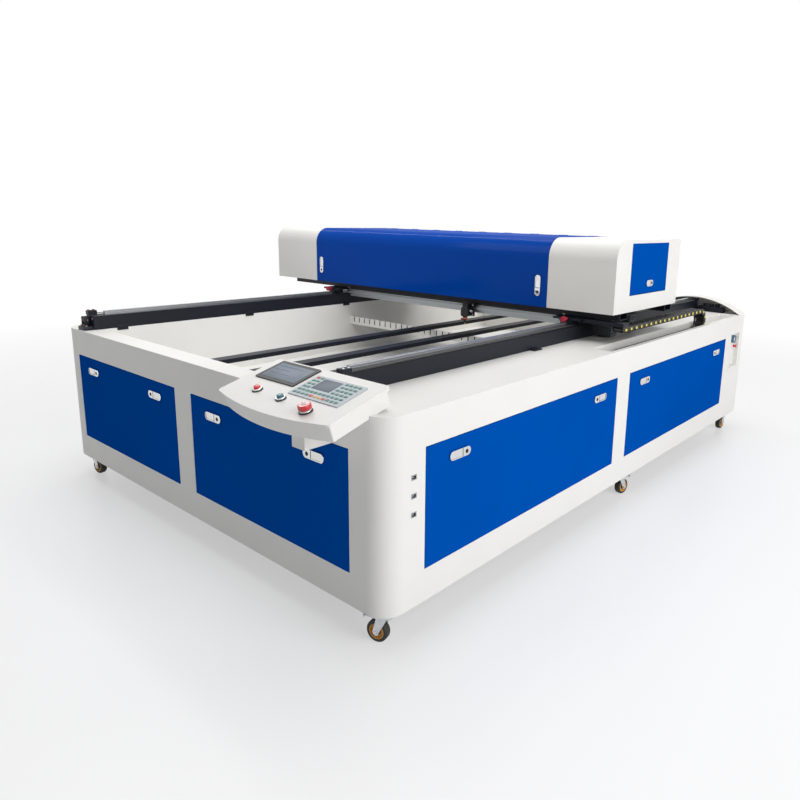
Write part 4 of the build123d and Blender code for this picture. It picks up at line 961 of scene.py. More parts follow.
    def stop_button(self, plane: Matrix) -> None:
        """Model the stop button's black base, chrome neck and the pale turning mark on its crown."""
        base = Shop.disc(Vector((0, 0, 0)), Z_AXIS, *self.stop_base)
        self.put(base, plane, self.stop_at)
        Shop.dress(base, "stop_base", PALETTE.moulded, "base", "black_plastic")
        neck = Shop.ring(Vector((0, 0, 0.003)), Z_AXIS, *self.stop_neck)
        self.put(neck, plane, self.stop_at)
        Shop.dress(neck, "stop_neck", PALETTE.chrome, "base", "machine_steel")
        mark = Shop.disc(Vector((0, 0, 0.0249)), Z_AXIS, *self.stop_mark)
        self.put(mark, plane, self.stop_at)
        Shop.dress(mark, "stop_mark", PALETTE.key_panel, "stop_push", "red_plastic")
        skirt = Shop.ring(Vector((0, 0, 0.0118)), Z_AXIS, *self.stop_skirt)
        self.put(skirt, plane, self.stop_at)
        Shop.dress(skirt, "stop_skirt", PALETTE.red, "stop_push", "red_plastic")


@dataclass
class Casters:
    """The six casters' hubs, treads, axle nuts, ball races and plate bolts.

    Attributes:
        radius: The wheel's radius.
        width: The wheel's width.
        hub_radius: The hub's radius.
        trail: From the swivel axis to the axle.
        turns: Each caster's yaw in degrees, by name.
        hub_boss: The boss round the axle.
        hub_rivet: A rivet of the hub.
        washer: The axle's washer.
        axle_nut: The axle's nut.
        race_drop: How far the race's foot lies under the fork's crown.
        columns: The left and the right plates' middle.
        rows: The plates' middle from front to rear, by name.
        plate_foot: The underside of the plates.
        ball_race: The race between plate and fork.
        plate_bolt: A bolt head of the plate.
    """

    radius: float = 0.0375
    width: float = 0.028
    hub_radius: float = 0.027
    trail: float = 0.030
    turns: dict[str, float] = field(default_factory=lambda: {
        "front_left": 10, "middle_left": 90, "rear_left": 75,
        "front_right": 195, "middle_right": 80, "rear_right": -95})
    hub_boss: Ring = Ring(0.0118, 0.0068, 0.0063, 28)
    hub_rivet: Disc = Disc(0.0032, 0.0028, 0.0008, 12)
    washer: Disc = Disc(0.0088, 0.001, 0.0002, 28)
    axle_nut: Disc = Disc(0.007, 0.0042, 0.0007, 6)
    race_drop: float = 0.0058
    columns: tuple[float, float] = (-0.8575, 1.2685)
    rows: dict[str, float] = field(default_factory=lambda: {
        "front": -1.47515, "middle": 0.10285, "rear": 1.60485})
    plate_foot: float = 0.1075
    ball_race: Ring = Ring(0.0292, 0.0022, 0.0052)
    plate_bolt: Disc = Disc(0.0062, 0.0045, 0.0006, 6)

    def build(self) -> None:
        """Model every caster's fittings."""
        hub = self.hub()
        nut = self.nut()
        tread = self.tread()
        for name, yaw in self.turns.items():
            low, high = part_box(f"{name}_wheel")
            centre = (low + high) / 2
            place = Matrix.Translation(centre) @ Matrix.Rotation(math.radians(yaw), 4, "Z")
            Shop.dress(Shop.copy(hub, place, "hub"), f"{name}_hub", PALETTE.hub, f"{name}_roller", "tyre")
            Shop.dress(Shop.copy(tread, place, "tread"), f"{name}_tread", PALETTE.tyre, f"{name}_roller",
                       "tyre")
            Shop.dress(Shop.copy(nut, place, "nut"), f"{name}_nuts", PALETTE.zinc, f"{name}_swivel", "zinc")
            self.race(name, place)
            self.bolts(name)
        Shop.drop(hub, nut, tread)

    def hub(self) -> bpy.types.Object:
        """Model a dished hub with a raised boss and eight lightening holes on each face."""
        pieces = []
        for side in (-1, 1):
            face = Y_AXIS * side
            start = face * (self.width / 2 - 0.006)
            pieces.append(Shop.ring(start, face, self.hub_radius - 0.0005, 0.0042, 0.0064, 40))
            pieces.append(Shop.ring(start, face, *self.hub_boss))
            pieces.append(Shop.disc(start - face * 0.001, face, self.hub_radius - 0.001, 0.0016, 0, 40))
            for step in range(6):
                turn = Matrix.Rotation(math.radians(60 * step + 15), 3, "Y")
                arm = turn @ Vector((0.0182, 0, 0))
                pieces.append(Shop.disc(start + arm, face, *self.hub_rivet))
        return Shop.join(pieces, "hub")

    def tread(self) -> bpy.types.Object:
        """Model the tyre's two fine shoulder ribs."""
        pieces = []
        for side in (-1, 1):
            face = Y_AXIS * side
            pieces.append(Shop.ring(face * (self.width / 2 - 0.0012), face, self.radius - 0.0068, 0.0022,
                                    0.0018, 48))
        return Shop.join(pieces, "tread")

    def nut(self) -> bpy.types.Object:
        """Model the hexagon nut and washer at both ends of the axle."""
        pieces = []
        for side in (-1, 1):
            face = Y_AXIS * side
            out = self.width / 2 + 0.005
            pieces.append(Shop.disc(face * out, face, *self.washer))
            pieces.append(Shop.disc(face * (out + 0.001), face, *self.axle_nut))
        return Shop.join(pieces, "nut")

    def race(self, name: str, place: Matrix) -> None:
        """Model the ball race between plate and fork.

        Args:
            name: The caster's name.
            place: The wheel's place and turn.
        """
        axis = place @ Vector((-self.trail, 0, 0))
        _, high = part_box(f"{name}_fork")
        ring = Shop.ring(Vector((axis.x, axis.y, high.z - self.race_drop)), Z_AXIS, *self.ball_race)
        Shop.dress(ring, f"{name}_race", PALETTE.zinc, f"{name}_swivel", "zinc")

    def bolts(self, name: str) -> None:
        """Model the four bolts that hold a caster's plate.

        Args:
            name: The caster's name.
        """
        side = self.columns[0] if name.endswith("left") else self.columns[1]
        y = self.rows[name.split("_")[0]]
        heads = []
        for dx in (-0.037, 0.037):
            for dy in (-0.027, 0.027):
                heads.append(Shop.disc(Vector((side + dx, y + dy, self.plate_foot)), Z_AXIS,
                                       *self.plate_bolt))
        made = Shop.join(heads, "bolts")
        Shop.dress(made, f"{name}_plate_bolts", PALETTE.zinc, "base", "zinc")


@dataclass
class RailGear:
    """What is bolted to the two long rails: screws, end pulleys, clips and front brackets.

    Attributes:
        pitch: From rail screw to rail screw.
        clip_at: Each clip's distance from the beam's front end.
        pulley_radius: The belt pulley's radius.
        block: Length of the block at each end of a beam.
        beam_half: Half of a beam's width.
        fronts: The left and the right beam's front end.
        rail_rise: From a beam's crown to its rail's crown.
        end_margin: From a beam's end to the first screw of its rail.
        clip_half: Half of an inner clip's length.
        foot_half: Half of an outer foot's length.
        foot_shift: From an inner clip to the outer foot behind it.
        cheek_reach: How far a bracket's cheeks stand out of the end.
        shelf_reach: How far its shelf stands out.
        shelf_half: Half of the shelf's width.
        rail_screw: A sunk screw of a rail.
        foot_bolt: A bolt of an outer foot.
        clip_bolt: A bolt of an inner clip.
        axle: The pulley's axle.
        face_screw: A screw in a beam's end face.
        shelf_screw: A screw on the bracket's shelf.
        block_screw: A screw on an end block.
    """

    pitch: float = 0.060
    clip_at: tuple[float, ...] = (0.09, 0.80, 1.52, 2.20, 2.66)
    pulley_radius: float = 0.0125
    block: float = 0.040
    beam_half: float = 0.040
    fronts: tuple[float, float] = (-1.44515, -1.40715)
    rail_rise: float = 0.0175
    end_margin: float = 0.055
    clip_half: float = 0.026
    foot_half: float = 0.030
    foot_shift: float = 0.26
    cheek_reach: float = 0.030
    shelf_reach: float = 0.044
    shelf_half: float = 0.036
    rail_screw: Ring = Ring(0.0052, 0.0016, 0.0004, 12)
    foot_bolt: Disc = Disc(0.0062, 0.005, 0.0008, 6)
    clip_bolt: Disc = Disc(0.0048, 0.0036, 0.0006, 6)
    axle: Disc = Disc(0.0042, 0.039, 0.0008, 16)
    face_screw: Disc = Disc(0.0055, 0.0045, 0.0012, 20)
    shelf_screw: Disc = Disc(0.0062, 0.0055, 0.0012, 20)
    block_screw: Disc = Disc(0.0048, 0.0042, 0.001, 20)

    def build(self) -> None:
        """Model the gear of both rails."""
        low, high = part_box("rail_beams")
        for side, name in ((-1, "left"), (1, "right")):
            x = low.x + self.beam_half if side < 0 else high.x - self.beam_half
            front = self.fronts[0] if side < 0 else self.fronts[1]
            self.screws(name, x, front + self.end_margin, high.y - self.end_margin, high.z + self.rail_rise)
            self.clips(name, x, side, front, low.z)
            for end, y, way in (("front", front, -1), ("rear", high.y, 1)):
                self.end_gear(f"{name}_{end}", x, side, y + way * self.block / 2, way, high.z)

    def screws(self, name: str, x: float, start: float, end: float, top: float) -> None:
        """Sink a row of socket screws into a rail's crown.

        Args:
            name: The rail's side.
            x: The rail's middle.
            start: The first screw.
            end: The last screw's limit.
            top: The rail's crown.
        """
        model = Shop.ring(Vector((0, 0, 0)), Z_AXIS, *self.rail_screw)
        count = int((end - start) / self.pitch)
        heads = [Shop.copy(model, Matrix.Translation((x, start + self.pitch * i, top - 0.0003)), "screw")
                 for i in range(count)]
        Shop.drop(model)
        Shop.dress(Shop.join(heads, "screws"), f"{name}_rail_screws", PALETTE.moulded, "base",
                   "black_plastic")

    def clips(self, name: str, x: float, side: int, front: float, foot: float) -> None:
        """Model the angle clips that hold a beam down along its inner edge.

        Args:
            name: The rail's side.
            x: The beam's middle.
            side: -1 at the left, 1 at the right.
            front: The beam's front end.
            foot: The deck's height.
        """
        inner = x - side * self.beam_half
        made = []
        for offset in self.clip_at:
            y = front + offset
            edge = sorted((inner, inner - side * 0.0045))
            made.append(Shop.block((edge[0], y - self.clip_half, foot - 0.012),
                                   (edge[1], y + self.clip_half, foot + 0.013), 0.0012))
            for step in (-0.014, 0.014):
                made.append(Shop.disc(Vector((inner - side * 0.0042, y + step, foot + 0.005)), -X_AXIS * side,
                                      *self.clip_bolt))
            if offset == self.clip_at[0]:
                continue
            outer = x + side * self.beam_half
            behind = y + self.foot_shift
            span = sorted((outer, outer + side * 0.028))
            made.append(Shop.block((span[0], behind - self.foot_half, foot),
                                   (span[1], behind + self.foot_half, foot + 0.006), 0.002))
            made.append(Shop.disc(Vector((outer + side * 0.015, behind, foot + 0.006)), Z_AXIS,
                                  *self.foot_bolt))
        Shop.dress(Shop.join(made, "clips"), f"{name}_beam_clips", PALETTE.black, "base", "black_beam")

    def end_gear(self, name: str, x: float, side: int, y: float, way: int, top: float) -> None:
        """Model a beam end's low bracket, its pulley and axle and the screws of the end block.

        Args:
            name: The end's name.
            x: The beam's middle.
            side: -1 at the left, 1 at the right.
            y: The block's middle.
            way: -1 at the front, 1 at the rear.
            top: The block's crown.
        """
        face = y + way * self.block / 2
        centre = Vector((x + side * 0.014, face + way * 0.014, top - 0.022))
        plates = []
        for step in (-1, 1):
            start = centre.x + step * 0.0115
            edge = sorted((start, start + step * 0.0035))
            depth = sorted((face, face + way * self.cheek_reach))
            plates.append(Shop.block((edge[0], depth[0], top - 0.046),
                                     (edge[1], depth[1], top - 0.004), 0.0012))
        depth = sorted((face, face + way * self.shelf_reach))
        plates.append(Shop.block((x - self.shelf_half, depth[0], top - 0.066),
                                 (x + self.shelf_half, depth[1], top - 0.048), 0.003))
        Shop.dress(Shop.join(plates, "plates"), f"{name}_bracket", PALETTE.black, "base", "black_beam")
        wheel = [Shop.disc(centre - X_AXIS * 0.0085, X_AXIS, self.pulley_radius, 0.017, 0.001, 24)]
        for step in (-0.0105, 0.0085):
            wheel.append(Shop.disc(centre + X_AXIS * step, X_AXIS, self.pulley_radius + 0.003, 0.002,
                                   0.0005, 32))
        wheel.append(Shop.disc(centre - X_AXIS * 0.0195, X_AXIS, *self.axle))
        Shop.dress(Shop.join(wheel, "pulley"), f"{name}_pulley", PALETTE.copper, "base", "machine_steel")
        heads = []
        for dx in (-0.027, 0.027):
            heads.append(Shop.disc(Vector((x + dx, face, top - 0.014)), Y_AXIS * way, *self.face_screw))
            heads.append(Shop.disc(Vector((x + dx, face + way * 0.030, top - 0.048)), Z_AXIS,
                                   *self.shelf_screw))
        for dx in (0.024, 0.040):
            for dy in (-0.011, 0.011):
                heads.append(Shop.disc(Vector((x + side * dx, y + dy, top + 0.020)), Z_AXIS,
                                       *self.block_screw))
        finish = PALETTE.zinc if side > 0 else PALETTE.copper
        Shop.dress(Shop.join(heads, "screws"), f"{name}_end_screws", finish, "base", "machine_steel")


@dataclass
class CableChain:
    """The cable chain's runs, which on the machine roll with the gantry and here stand still, and its yellow
    studs.

    Attributes:
        pitch: From link to link.
        first: The gantry's end of the upper run.
        fixed: The fixed end of the lower run.
        slack: How far before that end the run's sliding starts, so that its links never pass each other; not
            used.
        last: Where both runs meet the bend.
        middle: The middle of the links' width.
        bundle_half: Half of the cable bundle's width.
        bundle_steps: The number of stretches of the upper bundle.
        bend_y: The bend's axis.
        low_z: The lower run's middle.
        radius: The bend's radius.
        face: The outer face of the links' black bosses.
    """

    pitch: float = 0.054
    first: float = 0.01085
    fixed: float = 0.06485
    slack: float = 0.08
    last: float = 0.99385
    middle: float = 1.2515
    bundle_half: float = 0.020
    bundle_steps: int = 18
    bend_y: float = 1.00285
    low_z: float = 0.714
    radius: float = 0.0585
    face: float = 1.2835

    def build(self, nodes: dict[str, bpy.types.Object]) -> None:
        """Model the runs, the studs of each part and the cables inside the chain.

        Args:
            nodes: The solid parts by name.
        """
        start, end = Vector((0, self.first, 0)), Vector((0, self.last, 0))
        upper = self.run_copy(nodes["chain_upper_run"], "chain_upper_links")
        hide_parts("chain_upper_run")
        studs = self.row(self.first, self.last, self.low_z + 2 * self.radius, "chain_upper_studs")
        for piece in (upper, studs):
            self.soft(piece, "gantry", "chain_loop")
        lower = self.run_copy(nodes["chain_lower_run"], "chain_lower_links")
        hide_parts("chain_lower_run")
        low_studs = self.row(self.fixed, self.last, self.low_z, "chain_lower_studs")
        for piece in (lower, low_studs):
            self.soft(piece, "base", "gantry")
        self.bend_studs()
        self.cables(start, end)

    def cables(self, start: Vector, end: Vector) -> None:
        """Fill the chain with its bundle of dark cables: round the bend and along the upper run.

        Args:
            start: Where the upper run leaves the gantry.
            end: Where it reaches the bend.
        """
        left, right = self.middle - self.bundle_half, self.middle + self.bundle_half
        bend = Shop.block((left, self.bend_y - 0.0005, self.low_z - 0.006),
                          (right, self.bend_y, self.low_z + 0.004), 0)
        Shop.clear()
        bpy.context.view_layer.objects.active = bend
        bpy.ops.object.mode_set(mode="EDIT")
        bpy.ops.mesh.select_mode(type="FACE")
        bpy.ops.mesh.select_all(action="DESELECT")
        bpy.ops.object.mode_set(mode="OBJECT")
        for face in bend.data.polygons:
            face.select = face.normal.y > 0.9
        bpy.ops.object.mode_set(mode="EDIT")
        bpy.ops.mesh.spin(steps=14, angle=-math.pi, axis=(1, 0, 0),
                          center=(self.middle, self.bend_y, self.low_z + self.radius))
        bpy.ops.mesh.select_all(action="SELECT")
        bpy.ops.mesh.remove_doubles(threshold=0.00001)
        bpy.ops.mesh.normals_make_consistent(inside=False)
        bpy.ops.object.mode_set(mode="OBJECT")
        Shop.dress(bend, "chain_bend_cables", PALETTE.belt, "chain_loop", "black_plastic")
        top = self.low_z + 2 * self.radius
        upper = Shop.block((left, start.y + 0.005, top - 0.005), (right, end.y + 0.009, top + 0.005), 0)
        Shop.clear()
        bpy.context.view_layer.objects.active = upper
        bpy.ops.object.mode_set(mode="EDIT")
        for step in range(1, self.bundle_steps):
            bpy.ops.mesh.select_all(action="SELECT")
            cut = start.y + (end.y - start.y) * step / self.bundle_steps
            bpy.ops.mesh.bisect(plane_co=(0, cut, 0), plane_no=(0, 1, 0))
        bpy.ops.object.mode_set(mode="OBJECT")
        upper.name = "chain_upper_cables"
        upper.data.materials.append(PALETTE.belt.material())
        self.soft(upper, "gantry", "chain_loop")

    @staticmethod
    def run_copy(source: bpy.types.Object, name: str) -> bpy.types.Object:
        """Copy a run's links as one closed mesh with soft edges.

        Args:
            source: The solid run.
            name: The copy's name.

        Returns:
            The copy, with no parent.
        """
        made = source.copy()
        made.data = source.data.copy()
        made.parent = None
        made.name = name
        for key in list(made.keys()):
            del made[key]
        bpy.context.collection.objects.link(made)
        Shop.clear()
        made.select_set(True)
        bpy.context.view_layer.objects.active = made
        bpy.ops.object.mode_set(mode="EDIT")
        bpy.ops.mesh.select_all(action="SELECT")
        bpy.ops.mesh.remove_doubles(threshold=0.00001)
        bpy.ops.object.mode_set(mode="OBJECT")
        made.data.materials.clear()
        made.data.materials.append(PALETTE.moulded.material())
        bpy.ops.object.shade_smooth_by_angle(angle=math.radians(30))
        return made

    def soft(self, piece: bpy.types.Object, one: str, two: str) -> None:
        """Free a run from its parent, bake its place into its mesh and log the two bodies that it joins.

        Args:
            piece: The run.
            one: The body at its start.
            two: The body at its end.
        """
        piece.parent = None
        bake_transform(piece)
        LOG.info("%s between %s and %s", piece.name, one, two)

    def stud(self) -> bpy.types.Object:
        """Model one yellow oval stud in the Y-Z plane, standing along X."""
        made = Shop.stadium(0.017, 0.0125, 0.0016, 0.0006)
        made.data.transform(Matrix.Rotation(math.radians(90), 4, "Z"))
        made.data.transform(Matrix.Rotation(math.radians(90), 4, "Y"))
        return made

    def row(self, start: float, end: float, z: float, name: str) -> bpy.types.Object:
        """Put a stud on every link of a straight run.

        Args:
            start: The run's start.
            end: The run's end.
            z: The run's middle.
            name: The row's name.

        Returns:
            The joined studs, with no parent.
        """
        count = round((end - start) / self.pitch)
        step = (end - start) / count
        model = self.stud()
        studs = [Shop.copy(model, Matrix.Translation((self.face - 0.0006, start + step * (i + 0.5), z)),
                           "stud") for i in range(count)]
        Shop.drop(model)
        made = Shop.join(studs, name)
        made.data.materials.append(PALETTE.dot.material())
        return made

    def bend_studs(self) -> None:
        """Put a stud on each of the bend's four links."""
        model = self.stud()
        reach = self.radius - 0.0033
        studs = []
        for index in range(4):
            turn = math.radians(180 * (index + 0.5) / 4)
            place = (Matrix.Translation((self.face - 0.0006, self.bend_y, self.low_z + self.radius))
                     @ Matrix.Rotation(turn, 4, "X") @ Matrix.Translation((0, 0, -reach)))
            studs.append(Shop.copy(model, place, "stud"))
        Shop.drop(model)
        Shop.dress(Shop.join(studs, "studs"), "chain_bend_studs", PALETTE.dot, "chain_loop", "black_plastic")


@dataclass
class Combs:
    """Painted shade in the slots of the blade combs: a dark block in each slot where its gap falls into
    shadow.

    Attributes:
        pitch: From slot to slot.
        width: A slot's width as it shows.
        height: A slot's height.
        top: The combs' upper edge.
        half_depth: Half of the depth of a dark block of painted shade.
        edge: From the well's side to the middle comb.
        front_half: Half of the front comb's length.
        middle_y: The middle comb's place.
        front_y: The front comb's place.
    """

    pitch: float = 0.048
    width: float = 0.007
    height: float = 0.034
    top: float = 0.6707
    half_depth: float = 0.0022
    edge: float = 0.003
    front_half: float = 0.25
    middle_y: float = 0.11285
    front_y: float = -1.34415

    def build(self) -> None:
        """Fill both combs' slots with dark blocks of painted shade."""
        low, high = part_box("bed_well")
        middle = (low.x + high.x) / 2
        spans = {"middle": (low.x + self.edge, high.x - self.edge, self.middle_y),
                 "front": (middle - self.front_half, middle + self.front_half, self.front_y)}
        for name, (start, end, y) in spans.items():
            count = int((end - start - self.pitch) // self.pitch) + 1
            first = (start + end) / 2 - self.pitch * (count - 1) / 2
            # Each dark block is painted shade standing in one comb slot.
            ends = []
            for index in range(count):
                x = first + self.pitch * index
                ends.append(Shop.block((x - self.width / 2, y - self.half_depth, self.top - self.height),
                                       (x + self.width / 2, y + self.half_depth, self.top - 0.004),
                                       0.0006, 1))
            Shop.dress(Shop.join(ends, "ends"), f"{name}_comb_slots", PALETTE.dark_hole, "base", "black_beam")


@dataclass
class GantryGear:
    """The fittings of the gantry: head, drive pulleys, laser optics and the knuckles of the lid's hinge.

    Attributes:
        head_x: The head's middle.
        focus_y: The focus tube's axis.
        tip: The nozzle's tip.
        neck_z: The height of the brass ring over the tip.
        pointer_z: The height of the red ring.
        air_z: The height of the air fitting.
        lens_z: The height of the lens ring.
        ribs: The number of the lens ring's ribs.
        plate_left: From the head's middle to its plate's edge.
        plate_face: The front face of the plate.
        plate_foot: The foot of the plate.
        clamp_z: The height of the clamp screw.
        cap_at: How far the tube's end caps start past its ends.
        band_at: How far the bands start inside its ends.
        motor_l: A motor's side.
        cover_inset: From a motor's side to its cover.
        motor_bolt_at: From a motor's middle to its screws.
        knuckle_count: The number of the lid's knuckles.
        hinge_margin: From the lid's edge to the first knuckle.
        pointer_ring: The red ring of the nozzle.
        tip_ring: The brass mouth of the nozzle.
        neck_ring: The brass ring at its neck.
        lens_grip: The lens ring's body.
        air_fitting: The fitting for the air hose.
        grip_rib: A rib of the lens ring.
        clamp_stem: The clamp screw's stem.
        clamp_knob: The clamp screw's knob.
        plate_screw: A screw of the head plate.
        end_pulley: The head belt's pulley.
        pulley_cheek: A cheek of that pulley.
        tube_cap: The tube's narrow end cap.
        tube_band: The band round the tube's glass.
        motor_boss: The boss under a motor.
        motor_screw: A screw of a motor's cover.
        knuckle: A knuckle of the lid's hinge.
    """

    head_x: float = 0.3385
    focus_y: float = 0.02285
    tip: float = 0.752
    neck_z: float = 0.030
    pointer_z: float = 0.0255
    air_z: float = 0.0195
    lens_z: float = 0.104
    ribs: int = 20
    plate_left: float = 0.040
    plate_face: float = 0.04685
    plate_foot: float = 0.795
    clamp_z: float = 0.824
    cap_at: tuple[float, float] = (-0.002, -0.030)
    band_at: tuple[float, float] = (0.062, -0.080)
    motor_l: float = 0.070
    cover_inset: float = 0.003
    motor_bolt_at: float = 0.026
    knuckle_count: int = 9
    hinge_margin: float = 0.10
    pointer_ring: Ring = Ring(0.0172, 0.0064, 0.0042, 32)
    tip_ring: Ring = Ring(0.0042, 0.0018, 0.006, 24)
    neck_ring: Ring = Ring(0.0135, 0.0028, 0.0035, 32)
    lens_grip: Ring = Ring(0.0165, 0.0066, 0.0075, 32)
    air_fitting: Disc = Disc(0.0045, 0.02, 0.0008, 16)
    grip_rib: Disc = Disc(0.0009, 0.0065, 0, 6)
    clamp_stem: Disc = Disc(0.003, 0.014, 0.0005, 16)
    clamp_knob: Disc = Disc(0.0075, 0.007, 0.0015, 24)
    plate_screw: Disc = Disc(0.0042, 0.0036, 0.0008, 20)
    end_pulley: Disc = Disc(0.0105, 0.012, 0.0006, 28)
    pulley_cheek: Disc = Disc(0.0135, 0.002, 0.0004, 32)
    tube_cap: Ring = Ring(0.0175, 0.004, 0.032, 32)
    tube_band: Ring = Ring(0.0425, 0.003, 0.018, 40)
    motor_boss: Disc = Disc(0.012, 0.007, 0.0015, 24)
    motor_screw: Disc = Disc(0.0036, 0.004, 0.0006, 12)
    knuckle: Disc = Disc(0.0035, 0.06, 0.0006, 16)

    def build(self) -> None:
        """Model the gantry's fittings."""
        self.nozzle()
        self.head_plate()
        self.belt_ends()
        self.laser()
        self.motor_caps()
        self.seams()

    def at(self, z: float) -> Vector:
        """Return a point on the focus tube's axis at a height over the tip."""
        return Vector((self.head_x, self.focus_y, self.tip + z))

    def nozzle(self) -> None:
        """Model the brass tip, the red pointer ring, the black lens ring and the air fitting."""
        brass = [Shop.ring(self.at(-0.0002), Z_AXIS, *self.tip_ring),
                 Shop.ring(self.at(self.neck_z), Z_AXIS, *self.neck_ring)]
        Shop.dress(Shop.join(brass, "brass"), "nozzle_tip", PALETTE.bore, "focus", "aluminium")
        red = Shop.ring(self.at(self.pointer_z), Z_AXIS, *self.pointer_ring)
        Shop.dress(red, "nozzle_red_ring", PALETTE.red, "focus", "red_plastic")
        knurl = [Shop.ring(self.at(self.lens_z), Z_AXIS, *self.lens_grip),
                 Shop.disc(self.at(self.air_z) - X_AXIS * 0.008, -X_AXIS + Z_AXIS * 0.25, *self.air_fitting)]
        for step in range(self.ribs):
            turn = Matrix.Rotation(math.tau * step / self.ribs, 3, "Z")
            rib = self.at(self.lens_z + 0.0005) + turn @ Vector((self.lens_grip.radius, 0, 0))
            knurl.append(Shop.disc(rib, Z_AXIS, *self.grip_rib))
        Shop.dress(Shop.join(knurl, "knurl"), "lens_ring", PALETTE.moulded, "focus", "black_plastic")

    def head_plate(self) -> None:
        """Model the screws of the head plate, the clamp screw and the sensor beside the holder."""
        low = Vector((self.head_x - self.plate_left, self.plate_face, self.plate_foot))
        bolts = []
        for dx in (0.006, 0.074):
            for dz in (0.008, 0.060):
                bolts.append(Shop.disc(Vector((low.x + dx, low.y, low.z + dz)), -Y_AXIS, *self.plate_screw))
        for reach, screw in ((0.023, self.clamp_stem), (0.036, self.clamp_knob)):
            place = Vector((self.head_x + reach, self.focus_y + 0.004, self.clamp_z))
            bolts.append(Shop.disc(place, X_AXIS, *screw))
        Shop.dress(Shop.join(bolts, "bolts"), "head_bolts", PALETTE.zinc, "head", "machine_steel")
        sensor = Shop.block((self.head_x - 0.0395, self.focus_y + 0.004, 0.800),
                            (self.head_x - 0.0255, self.focus_y + 0.0235, 0.846), 0.002)
        Shop.dress(sensor, "head_sensor", PALETTE.cream, "head", "grey_plastic")

    def belt_ends(self) -> None:
        """Model the cross belt's pulleys in their brackets at both ends of the guide."""
        low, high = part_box("x_belt")
        for name, x, way in (("left", low.x, -1), ("right", high.x, 1)):
            centre = Vector((x + way * 0.018, high.y + 0.010, low.z - 0.002))
            wheel = [Shop.disc(centre, Z_AXIS, *self.end_pulley),
                     Shop.disc(centre - Z_AXIS * 0.002, Z_AXIS, *self.pulley_cheek),
                     Shop.disc(centre + Z_AXIS * 0.012, Z_AXIS, *self.pulley_cheek)]
            Shop.dress(Shop.join(wheel, "pulley"), f"cross_belt_pulley_{name}", PALETTE.steel, "gantry",
                       "machine_steel")
            plate = Shop.block((centre.x - 0.017, centre.y - 0.012, centre.z - 0.012),
                               (centre.x + 0.017, centre.y + 0.030, centre.z - 0.0035), 0.002)
            Shop.dress(plate, f"cross_belt_bracket_{name}", PALETTE.black, "gantry", "black_beam")

    def laser(self) -> None:
        """Model the tube's inner bore and its metal ends."""
        low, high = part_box("laser_tube")
        middle = (low + high) / 2
        axis = Vector((low.x, middle.y, middle.z))
        length = high.x - low.x
        core = Shop.disc(axis + X_AXIS * 0.10, X_AXIS, 0.009, length - 0.20, 0.001, 24)
        Shop.dress(core, "laser_bore", PALETTE.lcd, "gantry", "glass")
        caps = []
        for start in (low.x + self.cap_at[0], high.x + self.cap_at[1]):
            caps.append(Shop.ring(Vector((start, middle.y, middle.z)), X_AXIS, *self.tube_cap))
        for start in (low.x + self.band_at[0], high.x + self.band_at[1]):
            caps.append(Shop.ring(Vector((start, middle.y, middle.z)), X_AXIS, *self.tube_band))
        Shop.dress(Shop.join(caps, "caps"), "laser_end_caps", PALETTE.aluminium, "gantry", "aluminium")

    def motor_caps(self) -> None:
        """Model the drive motors' end covers, cable glands and mounting screws."""
        low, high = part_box("y_motors")
        inset = self.cover_inset
        for index, start in enumerate((low.y, high.y - self.motor_l)):
            middle = Vector(((low.x + high.x) / 2, start + self.motor_l / 2, low.z))
            parts = [Shop.block((low.x + inset, start + inset, low.z - 0.004),
                                (high.x - inset, start + self.motor_l - inset, low.z + 0.001), 0.002),
                     Shop.disc(middle - Z_AXIS * 0.009, Z_AXIS, *self.motor_boss)]
            for dx in (-self.motor_bolt_at, self.motor_bolt_at):
                for dy in (-self.motor_bolt_at, self.motor_bolt_at):
                    parts.append(Shop.disc(middle + Vector((dx, dy, -0.0065)), Z_AXIS, *self.motor_screw))
            Shop.dress(Shop.join(parts, "cover"), f"drive_motor_cover_{'ab'[index]}", PALETTE.moulded,
                       "gantry", "black_plastic")

    def seams(self) -> None:
        """Model the knuckles of the lid's hinge along its rear edge."""
        low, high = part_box("front_lid")
        knuckles = []
        span = high.x - low.x - 2 * self.hinge_margin
        for index in range(self.knuckle_count):
            x = low.x + self.hinge_margin + span * index / (self.knuckle_count - 1)
            knuckles.append(Shop.disc(Vector((x - 0.030, high.y + 0.0002, high.z - 0.0022)), X_AXIS,
                                      *self.knuckle))
        Shop.dress(Shop.join(knuckles, "knuckles"), "lid_hinge_knuckles", PALETTE.lid_blue, "gantry",
                   "blue_panel")


